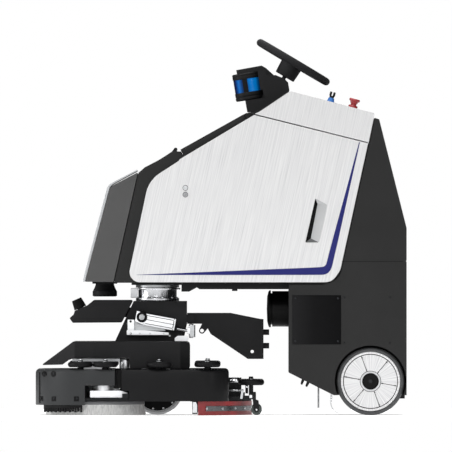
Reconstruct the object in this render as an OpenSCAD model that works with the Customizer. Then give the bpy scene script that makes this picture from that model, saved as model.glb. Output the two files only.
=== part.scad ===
// Commercial robotic floor scrubber, an assembly of separate named parts.
// Millimetres. The front faces -X, left is -Y, and the floor is Z = 0.
// Everything below the slewing ring turns with the steering module.

/* [Body] */
// Half of the overall length, nose of the scrub deck to the back of the column
half_length = 684; // [660:1:700]
// Half width across the closed side doors
body_half = 300; // [280:1:320]
// Thickness of a side door
door_t = 12; // [8:1:14]
// Wall of the moulded and folded covers
wall = 5; // [3:0.5:7]

/* [Rear wheels] */
// Radius of a rear tyre, 10 inch class
rear_r = 125; // [120:1:127]
// Radius of the rim inside a rear tyre
rear_rim_r = 110; // [100:1:114]
// Width of a rear tyre
rear_w = 54; // [45:1:60]

/* [Steering module] */
// Where the vertical steering axis stands along X
steer_x = -235; // [-240:1:-230]
// Radius of the drive tyre
drive_r = 95; // [90:1:100]
// Width of the drive tyre
drive_w = 60; // [50:1:66]
// Radius of the turned neck under the slewing ring
neck_r = 71; // [65:1:74]
// Radius of the cross bore at the tail of the rear arm
arm_bore_r = 6.3; // [5:0.1:8]
// Radius of the bore in the lug under the rear arm
lug_bore_r = 7; // [6:0.1:8]
// Radius of the two stub pins on the tail of the rear arm
stub_r = 10.5; // [8:0.5:12]

/* [Scrub deck] */
// Radius of a scrub brush
brush_r = 185; // [175:1:188]
// Brush spindle along X
brush_x = -463; // [-466:1:-460]
// Brush spindle either side of the middle
brush_y = 190; // [189:1:194]
// Radius of the two front guide rollers
front_roller_r = 46.3; // [44:0.1:46.4]
// Radius of the other guide rollers
roller_r = 48.5; // [44:0.5:50]
// Outermost reach of the guide rollers from the middle
reach = 415; // [405:1:425]

/* [Squeegee] */
// Radius of the rear blade arc in plan
blade_arc = 472; // [460:1:480]
// Height of the blades
blade_h = 51; // [45:1:53]
// Radius of a squeegee support wheel
caster_r = 20; // [18:1:22]

/* [Fasteners] */
// Radius of the holes in the column bolt patterns
column_hole_r = 3.2; // [2.5:0.1:4]
// Spacing of the column bolt patterns, both ways
column_pitch = 168; // [160:1:176]

/* [Hidden] */
$fn = 96;
side = body_half - door_t;
wheel_x = 551;
arc_x = 114 - blade_arc;
roller_y = reach - roller_r;
column_x = 538.75;
column_z = 351.5;
gap = 0.5;

// Side outline of a door, X and Z
door_pts = [[-339, 529], [-270.4, 837.8], [-264.4, 855.6], [-255, 871.8], [-242.3, 885.6],
  [-227, 896.5], [-156, 937], [-153, 943.5], [122, 1107], [542, 1002.5], [464, 646],
  [442, 542], [435, 519], [420, 502], [400, 492.5], [379, 490], [-308, 490],
  [-321.6, 493.2], [-332.7, 502], [-338.9, 514.8]];
// The pocket that the door closes into, a little larger all round
pocket_pts = [[380, 480], [380, 486], [401, 488.5], [423, 498.5], [439, 517], [446, 541],
  [468, 645], [548, 1008], [200, 1100], [200, 480]];
// The opening behind each door
window_pts = [[-290, 530], [-236, 830], [-190, 872], [96, 1036], [262, 1000], [262, 530]];
// Side outline of the body shell
shell_pts = [[-394, 488], [-304, 894], [-281, 914], [-231, 940], [-199, 960], [-178, 974],
  [-147.6, 971.8], [-142, 961.5], [91.5, 1091.6], [83.5, 1109], [94, 1114.5], [122, 1109.5],
  [300, 1065], [300, 488]];
shell_in_pts = [[-387.5, 494], [-299.5, 890], [-278, 908], [-228, 934], [-196, 953],
  [-178, 965], [-164, 965], [-146, 952], [95, 1084.5], [97, 1107], [121, 1103.5],
  [294, 1060], [294, 494]];
// Side outline of the rear column
column_pts = [[250, 157], [250, 486.5], [302, 486.5], [302, 1063], [547, 1001.5],
  [567, 1096], [583, 1091], [half_length, 690], [half_length, 74], [415, 74]];
column_in_pts = [[256, 161], [256, 480.5], [308, 480.5], [308, 1055], [551, 994],
  [571, 1088.5], [578, 1086], [half_length - 6, 688], [half_length - 6, 80], [417, 80]];

// Extrudes a drawing of X and Z along Y
module xz(y0, y1) {
  translate([0, y1, 0])
    rotate([90, 0, 0])
      linear_extrude(height = y1 - y0)
        children();
}

module pin_x(x0, x1, y, z, r) {
  translate([x0, y, z])
    rotate([0, 90, 0])
      cylinder(r = r, h = x1 - x0);
}

module pin_y(x, z, r, y0, y1) {
  translate([x, y1, z])
    rotate([90, 0, 0])
      cylinder(r = r, h = y1 - y0);
}

module pin_z(x, y, r, z0, z1) {
  translate([x, y, z0])
    cylinder(r = r, h = z1 - z0);
}

module box(x0, x1, y0, y1, z0, z1) {
  translate([x0, y0, z0])
    cube([x1 - x0, y1 - y0, z1 - z0]);
}

module both() {
  children();
  mirror([0, 1, 0])
    children();
}

// Stands on the sloping console, s along the slope from its front edge
module on_console(s, y) {
  translate([255, y, 1195])
    rotate([0, 14.77, 0])
      translate([s, 0, 0])
        children();
}

// Stands on the steering column, with Z along the shaft
module on_shaft() {
  translate([267, 0, 1303.5])
    rotate([0, 30.7, 0])
      children();
}

// Stands on the tilted scanner seat, with Z along the scanner
module on_scanner() {
  translate([109.3, 0, 1164.5])
    rotate([0, -9.1, 0])
      children();
}

// Stands on the seat of the pod's cap, with Z along the cap
module on_cap() {
  translate([-520.2, 0, 393.5])
    rotate([0, -24, 0])
      children();
}

// ---------- body ----------

module chassis_frame() {
  color("#2e2f31") {
    difference() {
      union() {
        box(-330, 249.5, -250, 250, 480, 487.5);
        both()
          xz(200, 240)
            polygon([[-146, 481], [-146, 455.4], [-117.6, 455.4], [-89, 471], [-80, 464.3],
              [249.5, 464.3], [249.5, 481]]);
        box(222, 249.5, -200, 200, 464.3, 481);
      }
      pin_z(steer_x, 0, 56, 470, 500);
    }
    both()
      pin_z(50.5, 220, 10, 457.7, 464.3);
  }
}

module body_shell() {
  color("#323232")
    difference() {
      xz(-side, side)
        polygon(shell_pts);
      xz(-side + wall, side - wall)
        polygon(shell_in_pts);
      xz(-side - 1, side + 1)
        polygon(window_pts);
      translate([-45, 0, 1010])
        rotate([0, -29.1, 0])
          cube([190, 360, 120], center = true);
      pin_z(steer_x, 0, 62, 480, 500);
    }
}

module front_hood() {
  color("#5b5b5c")
    difference() {
      xz(-side, side)
        polygon([[-501, 492], [-414, 802], [-408, 827], [-395, 849], [-306, 894.5],
          [-396, 491]]);
      xz(-side + wall, side - wall)
        polygon([[-495, 497], [-409, 801], [-403.5, 824], [-392, 844.5], [-309, 886],
          [-300, 886], [-386, 497]]);
      pin_z(-430, 0, 18, 480, 500);
    }
}

module front_plate() {
  color("#e9eaea")
    difference() {
      xz(-262, 262)
        polygon([[-512, 492], [-429, 802], [-420, 829], [-399, 854], [-395.5, 849.8],
          [-408.5, 827], [-414.6, 802], [-501.6, 492]]);
      both()
        translate([-443, 120, 742])
          rotate([0, 15, 0])
            cube([40, 104, 34], center = true);
    }
}

module depth_cameras() {
  color("#101113")
    both()
      translate([-436.5, 120, 743])
        rotate([0, 15, 0]) {
          cube([9, 100, 27], center = true);
          for (y = [-32, 0, 32])
            translate([-7.4, y, 0])
              rotate([0, 90, 0])
                cylinder(r = 9, h = 3);
        }
}

module rear_housing() {
  color("#2f2f30")
    difference() {
      union() {
        difference() {
          xz(-body_half, body_half)
            polygon(column_pts);
          xz(-body_half + 17, body_half - 17)
            polygon(column_in_pts);
          both()
            xz(side - 0.5, body_half + 1)
              polygon(pocket_pts);
        }
        intersection() {
          xz(-body_half, body_half)
            polygon(column_pts);
          both()
            pin_y(wheel_x, rear_r, rear_r + 14, body_half - 80, body_half);
        }
      }
      both() {
        pin_y(wheel_x, rear_r, rear_r + 7, body_half - 74, body_half + 2);
        box(262, 443, body_half - 3.4, body_half + 1, 261, 443);
        for (sx = [-0.5, 0.5], sz = [-0.5, 0.5])
          pin_y(column_x + sx * column_pitch, column_z + sz * column_pitch, column_hole_r,
            body_half - 20, body_half + 1);
      }
      pin_x(240, 260, 0, 393, 60);
      both()
        box(half_length - 2, half_length + 1, 60, body_half + 1, 566, 570);
    }
  color("#2f2f30") {
    both() {
      pin_y(wheel_x, rear_r, 12, body_half - 74, body_half - 12);
      xz(176, 200)
        polygon([[301, 135], [309.5, 131], [300, 111.5], [294.5, 112.5]]);
      xz(176, 200)
        polygon([[320, 126], [328.5, 121.5], [318, 103.5], [312.5, 104.5]]);
      box(657, 678, 200, 214, 61, 74);
    }
    pin_z(361, 150, 3, 24, 104);
  }
}

module top_hood() {
  color("#e4e5e5")
    difference() {
      xz(-body_half, body_half)
        polygon([[124, 1110.5], [145, 1121], [247, 1190], [255, 1195], [264, 1192.7],
          [566, 1113], [544.5, 1005.3]]);
      xz(-body_half + 6, body_half - 6)
        polygon([[128, 1080], [128, 1107], [148, 1115.5], [250, 1184.5], [256, 1188.5],
          [263, 1187], [559.5, 1108.7], [536, 990], [536, 980]]);
      on_console(87, -105.6)
        translate([0, 0, -3])
          cube([151.2, 211.2, 10]);
      on_console(238.5, -200)
        cylinder(r = 13, h = 60, center = true);
      on_console(154, -200)
        cylinder(r = 9, h = 60, center = true);
    }
}

module sensor_head() {
  color("#2c2c2e")
    difference() {
      union() {
        xz(-58, 58)
          polygon([[97, 1119], [89.6, 1160.8], [165.7, 1173], [152, 1258], [196, 1255],
            [201, 1256], [235, 1242], [248, 1228], [253, 1199], [249, 1193], [146, 1123.5],
            [122, 1113.5], [110, 1118]]);
        xz(-34, 34)
          polygon([[58.8, 1259.2], [56, 1274], [150, 1291], [166, 1282], [196, 1255],
            [160, 1230], [156, 1232], [149.6, 1273.7]]);
      }
      on_shaft()
        translate([0, 0, -107])
          cylinder(r = 7.58, h = 60);
      on_console(-1, -150)
        translate([0, 0, -20])
          cube([400, 300, 20.4]);
    }
  color("#2c2c2e")
    on_scanner()
      both() {
        box(42, 72, 54.7, 58, 30, 102);
        box(50, 72, 54.7, 58, 4, 31);
      }
}

module lidar_housing() {
  color("#1d1e20")
    on_scanner() {
      cylinder(r = 54, h = 29.5);
      translate([0, 0, 79])
        cylinder(r = 54, h = 22);
      translate([0, 0, 29])
        cylinder(r = 40, h = 51);
    }
}

module lidar_window() {
  color("#0c6fb8")
    on_scanner()
      translate([0, 0, 29.8])
        difference() {
          cylinder(r = 52.5, h = 48.9);
          translate([0, 0, -1])
            cylinder(r = 40.3, h = 52);
        }
}

module front_lidar() {
  color("#1a1a1c")
    translate([-430, 0, 0]) {
      translate([-46, -46, 484])
        cube([79, 92, 6.6]);
      translate([0, 0, 457])
        cylinder(r1 = 45.5, r2 = 34, h = 27.2);
      translate([0, 0, 436.6])
        cylinder(r = 45.5, h = 20.5);
      translate([0, 0, 490])
        cylinder(r = 17, h = 31);
    }
}

module touch_screen() {
  color("#0b0c0e")
    on_console(87.6, -105)
      translate([0, 0, -2.8])
        cube([150, 210, 4.2]);
}

module switch_bases() {
  color("#c9b321")
    on_console(238.5, -200)
      difference() {
        translate([0, 0, 0.2])
          cylinder(r = 17, h = 9);
        translate([0, 0, -5])
          cylinder(r = 11.1, h = 30);
      }
  color("#1d5fae")
    on_console(154, -200)
      difference() {
        translate([0, 0, 0.2])
          cylinder(r1 = 14, r2 = 10.5, h = 15);
        translate([0, 0, -5])
          cylinder(r = 6.1, h = 30);
      }
}

module vacuum_housing() {
  color("#0d0d0e") {
    pin_x(188.8, 249.6, 0, 393, 66);
    pin_x(184, 190, 0, 393, 58);
    pin_x(249, 300, 0, 393, 55);
    translate([176.4, 0, 389])
      rotate([0, 90, 0])
        cylinder(r = 68.5, h = 8.1);
    translate([169, 0, 389])
      rotate([0, 90, 0])
        cylinder(r1 = 50, r2 = 67, h = 7.5);
  }
}

module battery_pack() {
  color("#3a4656") {
    box(-60, 235, -190, 190, 494.5, 690);
    both()
      pin_z(-20, 120, 9, 689, 702);
  }
}

module water_tank() {
  color("#cfd3d6")
    difference() {
      xz(-230, 230)
        polygon([[-325, 706], [-292, 862], [-215, 908], [28, 1040], [28, 706]]);
      xz(-225, 225)
        polygon([[-318.5, 711], [-287.5, 858], [-212.5, 903], [23, 1031], [23, 711]]);
      translate([-65, 0, 990])
        rotate([0, -28.6, 0])
          cube([150, 300, 90], center = true);
    }
}

module service_panels() {
  color("#191919")
    both()
      box(263, 442, body_half - 3, body_half, 262, 442);
}

module panel_screws() {
  color("#9a9c9e")
    both()
      for (x = [274, 431], z = [273, 431])
        pin_y(x, z, 5, body_half + 0.05, body_half + 2.4);
}

module slew_ring() {
  color("#9b9da0")
    difference() {
      pin_z(steer_x, 0, 80, 470.3, 479.9);
      pin_z(steer_x, 0, 55.08, 460, 490);
    }
}

// ---------- moving parts on the body ----------

module steering_wheel() {
  color("#26272a")
    on_shaft() {
      rotate_extrude()
        translate([141, 0])
          circle(r = 14.3);
      for (a = [60, 180, 300])
        rotate([0, 0, a])
          translate([20, -14, -8])
            cube([114, 28, 10]);
      translate([0, 0, -65])
        cylinder(r1 = 37, r2 = 42, h = 65);
      cylinder(r = 30, h = 8);
      translate([0, 0, -105])
        cylinder(r = 7.5, h = 60);
    }
}

module estop_button() {
  color("#b3222b")
    on_console(238.5, -200) {
      translate([0, 0, 3])
        cylinder(r = 11, h = 17);
      translate([0, 0, 17])
        cylinder(r1 = 18, r2 = 20, h = 9);
      translate([0, 0, 26])
        cylinder(r1 = 20, r2 = 16.5, h = 8);
    }
}

module key_knob() {
  color("#17181a")
    on_console(154, -200) {
      translate([0, 0, 3])
        cylinder(r = 6, h = 16);
      translate([0, 0, 15.8])
        cylinder(r = 9, h = 8);
      translate([-11, -3, 22])
        cube([22, 6, 16]);
    }
}

module door() {
  difference() {
    xz(side + gap, body_half)
      polygon(door_pts);
    xz(body_half - 8, body_half + 1)
      polygon([[348, 799], [391, 776], [361, 637], [311, 637]]);
  }
  pin_y(-131.5, 838, 8.5, body_half - 0.4, body_half + 4);
  pin_y(-131.5, 813, 8.5, body_half - 0.4, body_half + 4);
}

module left_side_door() {
  color("#e4e5e5")
    mirror([0, 1, 0])
      door();
}

module right_side_door() {
  color("#e4e5e5")
    door();
}

module tank_lid() {
  color("#323232")
    difference() {
      xz(-side + 1, side - 1)
        polygon([[-150, 979], [81, 1108], [89.8, 1092.3], [-141.2, 963.3]]);
      translate([-45, 0, 1028])
        rotate([0, -29.2, 0])
          translate([0, 0, -8])
            cube([230, 540, 12], center = true);
    }
}

// ---------- rear wheels ----------

module rear_tyre() {
  difference() {
    union() {
      pin_y(wheel_x, rear_r, rear_r, body_half - 9 - rear_w + 6, body_half - 11);
      pin_y(wheel_x, rear_r, rear_r - 5, body_half - 9 - rear_w, body_half - 5);
    }
    pin_y(wheel_x, rear_r, rear_rim_r + 0.1, body_half - 80, body_half + 5);
  }
}

module rear_rim() {
  difference() {
    pin_y(wheel_x, rear_r, rear_rim_r, body_half - 9 - rear_w + 6, body_half - 3);
    pin_y(wheel_x, rear_r, 12.06, body_half - 80, body_half - 11);
    difference() {
      pin_y(wheel_x, rear_r, 99.8, body_half - 4.5, body_half + 5);
      pin_y(wheel_x, rear_r, 98, body_half - 6, body_half + 6);
    }
    pin_y(wheel_x, rear_r, 37, body_half - 6, body_half + 5);
    for (a = [-10 : 60 : 290]) {
      translate([wheel_x, 0, rear_r])
        rotate([0, -a, 0])
          translate([44, body_half - 4, -0.8])
            cube([50, 5, 1.6]);
      translate([wheel_x, 0, rear_r])
        rotate([0, -a, 0]) {
          translate([92, body_half + 2, 0])
            rotate([90, 0, 0])
              cylinder(r = 3, h = 7, $fn = 24);
          translate([44, body_half + 2, 0])
            rotate([90, 0, 0])
              cylinder(r = 3, h = 7, $fn = 24);
        }
    }
  }
  pin_y(wheel_x, rear_r, 30, body_half - 6.5, body_half - 2);
}

module left_rear_tyre() {
  color("#4a4b4c")
    mirror([0, 1, 0])
      rear_tyre();
}

module right_rear_tyre() {
  color("#4a4b4c")
    rear_tyre();
}

module left_rear_rim() {
  color("#ececec")
    mirror([0, 1, 0])
      rear_rim();
}

module right_rear_rim() {
  color("#ececec")
    rear_rim();
}

// ---------- steering module ----------

module slew_neck() {
  color("#c9cbcd") {
    pin_z(steer_x, 0, 55, 469, 487);
    pin_z(steer_x, 0, neck_r, 431, 469.6);
    pin_z(steer_x, 0, 80, 420.4, 431.1);
  }
}

module yoke() {
  color("#2b2b2d") {
    box(-320, -128, -97, 97, 408, 420);
    both() {
      difference() {
        union() {
          xz(85, 97)
            polygon([[-323, 420], [-126, 420], [-126, 336], [-137, 285], [-173, 269],
              [-195, 262], [-205, 110], [-265, 110], [-275, 262], [-392, 271]]);
          pin_y(steer_x, drive_r, 30, 85, 97);
        }
        pin_y(-292.5, 361, 5, 80, 100);
      }
      pin_y(steer_x, drive_r, 12, 36, 128);
    }
    xz(-85, 85)
      polygon([[-323, 408], [-318, 408], [-385, 271], [-392, 271]]);
    xz(-109, -97)
      polygon([[-171, 272], [-171, 284], [-160, 292], [-126, 292], [-121, 285], [-121, 272]]);
    box(-163, -133, -122, -97, 408, 420);
  }
}

module front_pod() {
  color("#2c2c2e")
    difference() {
      union() {
        xz(-110, 110)
          polygon([[-470, 424], [-330, 424], [-327, 419], [-367, 341], [-547, 339.5],
            [-558.5, 355], [-558.5, 358], [-544, 371], [-541, 383.6], [-494, 404.6]]);
        xz(-60, 60)
          polygon([[-345, 396], [-334.4, 396], [-351, 360], [-362, 360]]);
      }
      xz(-105, 105)
        polygon([[-468.3, 419], [-335, 419], [-332, 416], [-371, 346], [-544, 345],
          [-552.5, 355], [-552.5, 357], [-540.3, 367.5], [-536.6, 380], [-491.2, 400.4]]);
      on_cap()
        cylinder(r = 12.08, h = 40, center = true);
    }
}

module pod_cap() {
  color("#121213")
    on_cap() {
      translate([0, 0, 0.3])
        cylinder(r1 = 23.5, r2 = 18.5, h = 36);
      translate([0, 0, -16])
        cylinder(r = 12, h = 20);
    }
}

module rear_arm() {
  arm = [[-125, 376], [35, 376], [144, 354], [157, 353], [157, 206], [99, 206], [-38, 298],
    [-52, 323], [-60, 336], [-125, 336]];
  color("#2c2c2e") {
    difference() {
      union() {
        both()
          xz(60, 66)
            polygon(arm);
        xz(-60.1, 60.1)
          polygon([[-125, 376], [35, 376], [144, 354], [157, 353], [157, 206], [151, 206],
            [151, 347], [143, 348], [34, 370], [-125, 370]]);
        both()
          hull() {
            pin_y(-70.5, 310.4, 11, 60, 66);
            pin_y(-58, 330, 14, 60, 66);
          }
      }
      pin_y(115.3, 233.1, arm_bore_r, -80, 80);
      pin_y(-70.5, 310.4, lug_bore_r, -80, 80);
    }
    pin_x(156, 178, -40, 305, stub_r);
    pin_x(156, 178, -40, 255, stub_r);
    both()
      box(-125.7, -100, 65.9, 85, 341, 370);
  }
}

module actuator_body() {
  color("#b9bbbd") {
    translate([-292.5, -120, 361])
      rotate([0, 10.4, 0]) {
        difference() {
          translate([8, -22, -28])
            cube([118, 44, 44]);
          translate([100, 0, -19])
            rotate([0, 90, 0])
              cylinder(r = 5.1, h = 40);
        }
        translate([-2, 22, 0])
          rotate([90, 0, 0])
            cylinder(r = 22, h = 44);
      }
    pin_y(-292.5, 361, 4.92, -99, -83);
    box(-344, -320, -140, -97.4, 313, 344);
    xz(-140, -97.4)
      polygon([[-348, 294.5], [-348, 313], [-283, 313], [-193, 304], [-193, 294.5]]);
  }
}

module actuator_rod() {
  color("#d6d8da") {
    translate([-292.5, -120, 361])
      rotate([0, 10.4, 0])
        translate([104, 0, -19])
          rotate([0, 90, 0])
            cylinder(r = 5, h = 90);
    pin_z(-110, -120, 9, 284, 336);
    box(-125, -95, -129, -111, 299, 323);
  }
}

module drive_tyre() {
  color("#8d8f91")
    difference() {
      pin_y(steer_x, drive_r, drive_r, -drive_w / 2, drive_w / 2);
      pin_y(steer_x, drive_r, drive_r - 13, -drive_w, drive_w);
    }
}

module drive_rim() {
  color("#161617")
    difference() {
      union() {
        pin_y(steer_x, drive_r, drive_r - 13.1, -drive_w / 2 + 1, drive_w / 2 - 1);
        pin_y(steer_x, drive_r, 40, -35.6, 35.6);
      }
      pin_y(steer_x, drive_r, 12, -40, 40);
      both()
        for (a = [13 : 30 : 350])
          translate([steer_x, 0, drive_r])
            rotate([0, a, 0])
              translate([74.5, drive_w / 2 + 3, 0])
                rotate([90, 0, 0])
                  cylinder(r = 3.6, h = 10, $fn = 24);
    }
}

// ---------- scrub deck ----------

// Points of an arc about (cx, cy) from angle a0 to a1 in n steps
function arc(cx, cy, r, a0, a1, n) = [for (i = [0 : n])
  let(a = a0 + (a1 - a0) * i / n) [cx + r * cos(a), cy + r * sin(a)]];

// Plan of the front shroud, smaller by o all round, open at the back to x_end
module deck_plan(o, x_end) {
  r = half_length - 468 - o;
  polygon(concat([[x_end, 400 - o]], arc(-468, 184, r, 90, 180, 24),
    arc(-468, -184, r, 180, 270, 24), [[x_end, o - 400]]));
}

module front_shroud() {
  color("#5e6063")
    difference() {
      intersection() {
        translate([0, 0, 38])
          linear_extrude(height = 132)
            deck_plan(0, -378);
        xz(-420, 420)
          polygon([[-half_length, 38], [-501, 38], [-501, 110], [-391, 110], [-391, 164],
            [-600, 164], [-622, 170], [-672, 170], [-half_length, 158]]);
      }
      translate([0, 0, 30])
        linear_extrude(height = 129)
          deck_plan(6, -368);
      box(-445, -380, -158, 158, 100, 180);
      both()
        pin_z(brush_x, brush_y, 62, 150, 175);
    }
}

module side_fairings() {
  color("#2f3032")
    both() {
      difference() {
        union() {
          box(-364, -60, 350, 404, 52.5, 169.5);
          intersection() {
            translate([-60, 315, 52.5])
              cylinder(r = 89, h = 117);
            box(-60, 40, 315, 410, 50, 170);
          }
        }
        box(-370, -60, 340, 398, 40, 163.5);
        box(-370, -338, 340, 410, 40, 90);
        translate([-60, 315, 40])
          cylinder(r = 83, h = 123.5);
      }
    }
}

module deck_frame() {
  color("#3b3c3e") {
    difference() {
      union() {
        box(-640, -345, -150, 150, 54.3, 63);
        both() {
          box(-600, -345, 150, 385, 54.3, 63);
          box(-345, -160, 160, 385, 54.3, 63);
          box(-200, -160, 160, 397, 63, 72);
          box(-364, -340, 370, 397, 63, 80);
        }
      }
      both() {
        pin_z(brush_x, brush_y, 40, 50, 70);
        pin_z(-650, 330, 150, 50, 70);
      }
    }
    both()
      box(-192, -172, 165, 185, 72, 163.2);
  }
  color("#c4c6c8")
    both() {
      pin_z(-352, 260, 21, 63, 205);
      pin_z(-180, 175, 8, 163, 230);
      pin_z(-518, 352, 12, 164.2, 176.5);
      pin_z(-518, 352, 8, 176, 204);
      pin_z(-426, reach - front_roller_r, 12, 164.2, 176.5);
      pin_z(-426, reach - front_roller_r, 8, 176, 204);
      for (x = [-228, -50]) {
        pin_z(x, roller_y, 12, 169.7, 176.5);
        pin_z(x, roller_y, 8, 176, 204);
      }
    }
}

module deck_cover() {
  color("#3d3e40")
    difference() {
      intersection() {
        xz(-316, 316)
          polygon([[-658, 184], [-658, 188], [-550, 268], [-540, 271], [-128, 271],
            [-118, 266], [-115, 256], [-115, 177], [-120, 172], [-335, 172], [-340, 211],
            [-540, 211], [-561, 203.5], [-584, 186.5]]);
        translate([0, 0, 160])
          linear_extrude(height = 120)
            polygon([[-658, -150], [-600, -262], [-540, -304], [-470, -316], [-150, -316],
              [-115, -292], [-115, 292], [-150, 316], [-470, 316], [-540, 304],
              [-600, 262], [-658, 150]]);
      }
      intersection() {
        xz(-310, 310)
          polygon([[-652, 183], [-545, 262.5], [-538, 265], [-121, 265], [-121, 160],
            [-640, 160]]);
        translate([0, 0, 150])
          linear_extrude(height = 120)
            polygon([[-652, -149], [-596, -257], [-537, -298], [-469, -310], [-152, -310],
              [-121, -289], [-121, 289], [-152, 310], [-469, 310], [-537, 298],
              [-596, 257], [-652, 149]]);
      }
      box(-405, -100, -165, 165, 150, 290);
    }
}

module brush_motors() {
  color("#c2c4c6")
    both() {
      pin_z(brush_x, brush_y, 55, 63.2, 172);
      pin_z(brush_x, brush_y, 45, 171, 206);
      xz(240, 300)
        polygon([[-476, 66], [-374, 66], [-374, 90], [-384, 98], [-466, 98], [-476, 90]]);
      xz(284, 366)
        polygon([[-482, 66], [-345, 66], [-345, 84], [-371, 91], [-482, 91]]);
      pin_z(-434, 322, 38, 90, 112);
    }
}

module brush() {
  difference() {
    union() {
      pin_z(brush_x, brush_y, brush_r - 4, 39, 53.8);
      pin_z(brush_x, brush_y, brush_r, 0, 39.2);
      pin_z(brush_x, brush_y, 30, 53, 62.8);
    }
    pin_z(brush_x, brush_y, 70, -1, 39);
  }
}

module left_brush() {
  color("#b3b4b4")
    mirror([0, 1, 0])
      brush();
}

module right_brush() {
  color("#b3b4b4")
    brush();
}

module roller(x, y, r, z0) {
  difference() {
    union() {
      pin_z(x, y, r, z0 + 5, z0 + 16);
      pin_z(x, y, r - 3, z0, z0 + 21);
    }
    pin_z(x, y, 8.08, z0 - 5, z0 + 30);
  }
}

module deck_roller(n, s) {
  xs = [-518, -426, -228, -50];
  ys = [352, reach - front_roller_r, roller_y, roller_y];
  rs = [front_roller_r, front_roller_r, roller_r, roller_r];
  color("#1b1c1d")
    roller(xs[n - 1], s * ys[n - 1], rs[n - 1], 177);
}

module left_roller_1() {
  deck_roller(1, -1);
}

module left_roller_2() {
  deck_roller(2, -1);
}

module left_roller_3() {
  deck_roller(3, -1);
}

module left_roller_4() {
  deck_roller(4, -1);
}

module right_roller_1() {
  deck_roller(1, 1);
}

module right_roller_2() {
  deck_roller(2, 1);
}

module right_roller_3() {
  deck_roller(3, 1);
}

module right_roller_4() {
  deck_roller(4, 1);
}

// ---------- squeegee ----------

// An arc band about the blade centre, between two X limits
module arc_band(r0, r1, z0, z1, x0) {
  intersection() {
    difference() {
      pin_z(arc_x, 0, r1, z0, z1);
      pin_z(arc_x, 0, r0, z0 - 1, z1 + 1);
    }
    box(x0, 200, -393, 393, z0 - 2, z1 + 2);
  }
}

module squeegee_frame() {
  color("#2b2c2e") {
    arc_band(blade_arc - 52, blade_arc - 2, blade_h + 0.3, 60, -113);
    both() {
      difference() {
        union() {
          pin_y(steer_x, drive_r, 24, 105, 125);
          xz(105, 125)
            polygon([[-235, 119], [-235, 71], [-60, 71], [60, 56], [88, 56], [88, 82],
              [-60, 96]]);
        }
        pin_y(steer_x, drive_r, 12.08, 90, 130);
      }
      intersection() {
        difference() {
          pin_z(arc_x, 0, blade_arc + 3, 6, 54);
          pin_z(arc_x, 0, blade_arc - 40, 5, 55);
        }
        box(-106, -86, 300, 393, 0, 60);
      }
      box(15, 129, 223, 247, 58, 68);
      box(103, 129, 223, 247, 67, 82);
      for (y = [221, 245.5])
        xz(y, y + 3.5)
          polygon([[103, 60], [117, 58], [120, 20], [126, 12], [136, 12], [141, 20],
            [139, 50], [129, 54], [129, 76], [123, 82], [103, 82]]);
      pin_y(131, caster_r, 4, 221, 249);
      pin_z(111, 235, 8, 67, 139);
    }
    box(29, 88, -105.5, 105.5, 59, 82);
  }
  color("#1c1d1f") {
    pin_z(51, 0, 24.5, 81, 137);
    pin_x(-10, 51, 0, 113, 22);
  }
}

module squeegee_blades() {
  color("#a3242b") {
    arc_band(blade_arc - 8, blade_arc, 0, blade_h, -85);
    arc_band(blade_arc - 46, blade_arc - 40, 0, blade_h, -85);
  }
}

module squeegee_strap() {
  color("#c9cbcc")
    difference() {
      arc_band(blade_arc + 0.2, blade_arc + 2.4, 15.5, 34, -56);
      for (a = [-50 : 10 : 50])
        translate([arc_x, 0, 25])
          rotate([0, 0, a])
            translate([blade_arc - 5, 0, 0])
              rotate([0, 90, 0])
                cylinder(r = 3, h = 12, $fn = 24);
    }
}

module squeegee_roller(s) {
  color("#1b1c1d")
    roller(111, s * 235, roller_r, 110);
}

module left_squeegee_roller() {
  squeegee_roller(-1);
}

module right_squeegee_roller() {
  squeegee_roller(1);
}

module squeegee_caster(s) {
  color("#202123")
    difference() {
      pin_y(131, caster_r, caster_r, s * 235 - 9, s * 235 + 9);
      pin_y(131, caster_r, 4.06, s * 235 - 10, s * 235 + 10);
    }
}

module left_squeegee_caster() {
  squeegee_caster(-1);
}

module right_squeegee_caster() {
  squeegee_caster(1);
}

chassis_frame();
body_shell();
front_hood();
front_plate();
rear_housing();
top_hood();
sensor_head();
lidar_housing();
lidar_window();
front_lidar();
depth_cameras();
touch_screen();
switch_bases();
vacuum_housing();
battery_pack();
water_tank();
service_panels();
panel_screws();
slew_ring();
steering_wheel();
estop_button();
key_knob();
left_side_door();
right_side_door();
tank_lid();
left_rear_tyre();
right_rear_tyre();
left_rear_rim();
right_rear_rim();
slew_neck();
yoke();
front_pod();
pod_cap();
rear_arm();
actuator_body();
actuator_rod();
drive_tyre();
drive_rim();
deck_cover();
front_shroud();
side_fairings();
deck_frame();
brush_motors();
left_brush();
right_brush();
left_roller_1();
left_roller_2();
left_roller_3();
left_roller_4();
right_roller_1();
right_roller_2();
right_roller_3();
right_roller_4();
squeegee_frame();
squeegee_blades();
squeegee_strap();
left_squeegee_roller();
right_squeegee_roller();
left_squeegee_caster();
right_squeegee_caster();
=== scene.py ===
# Looks of the commercial robotic floor scrubber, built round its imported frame.
# Sizes in the calls below are millimetres in the frame's own axes: -X front, -Y left, Z up.
import math
import random

import bmesh
import bpy
from mathutils import Matrix, Vector


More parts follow.
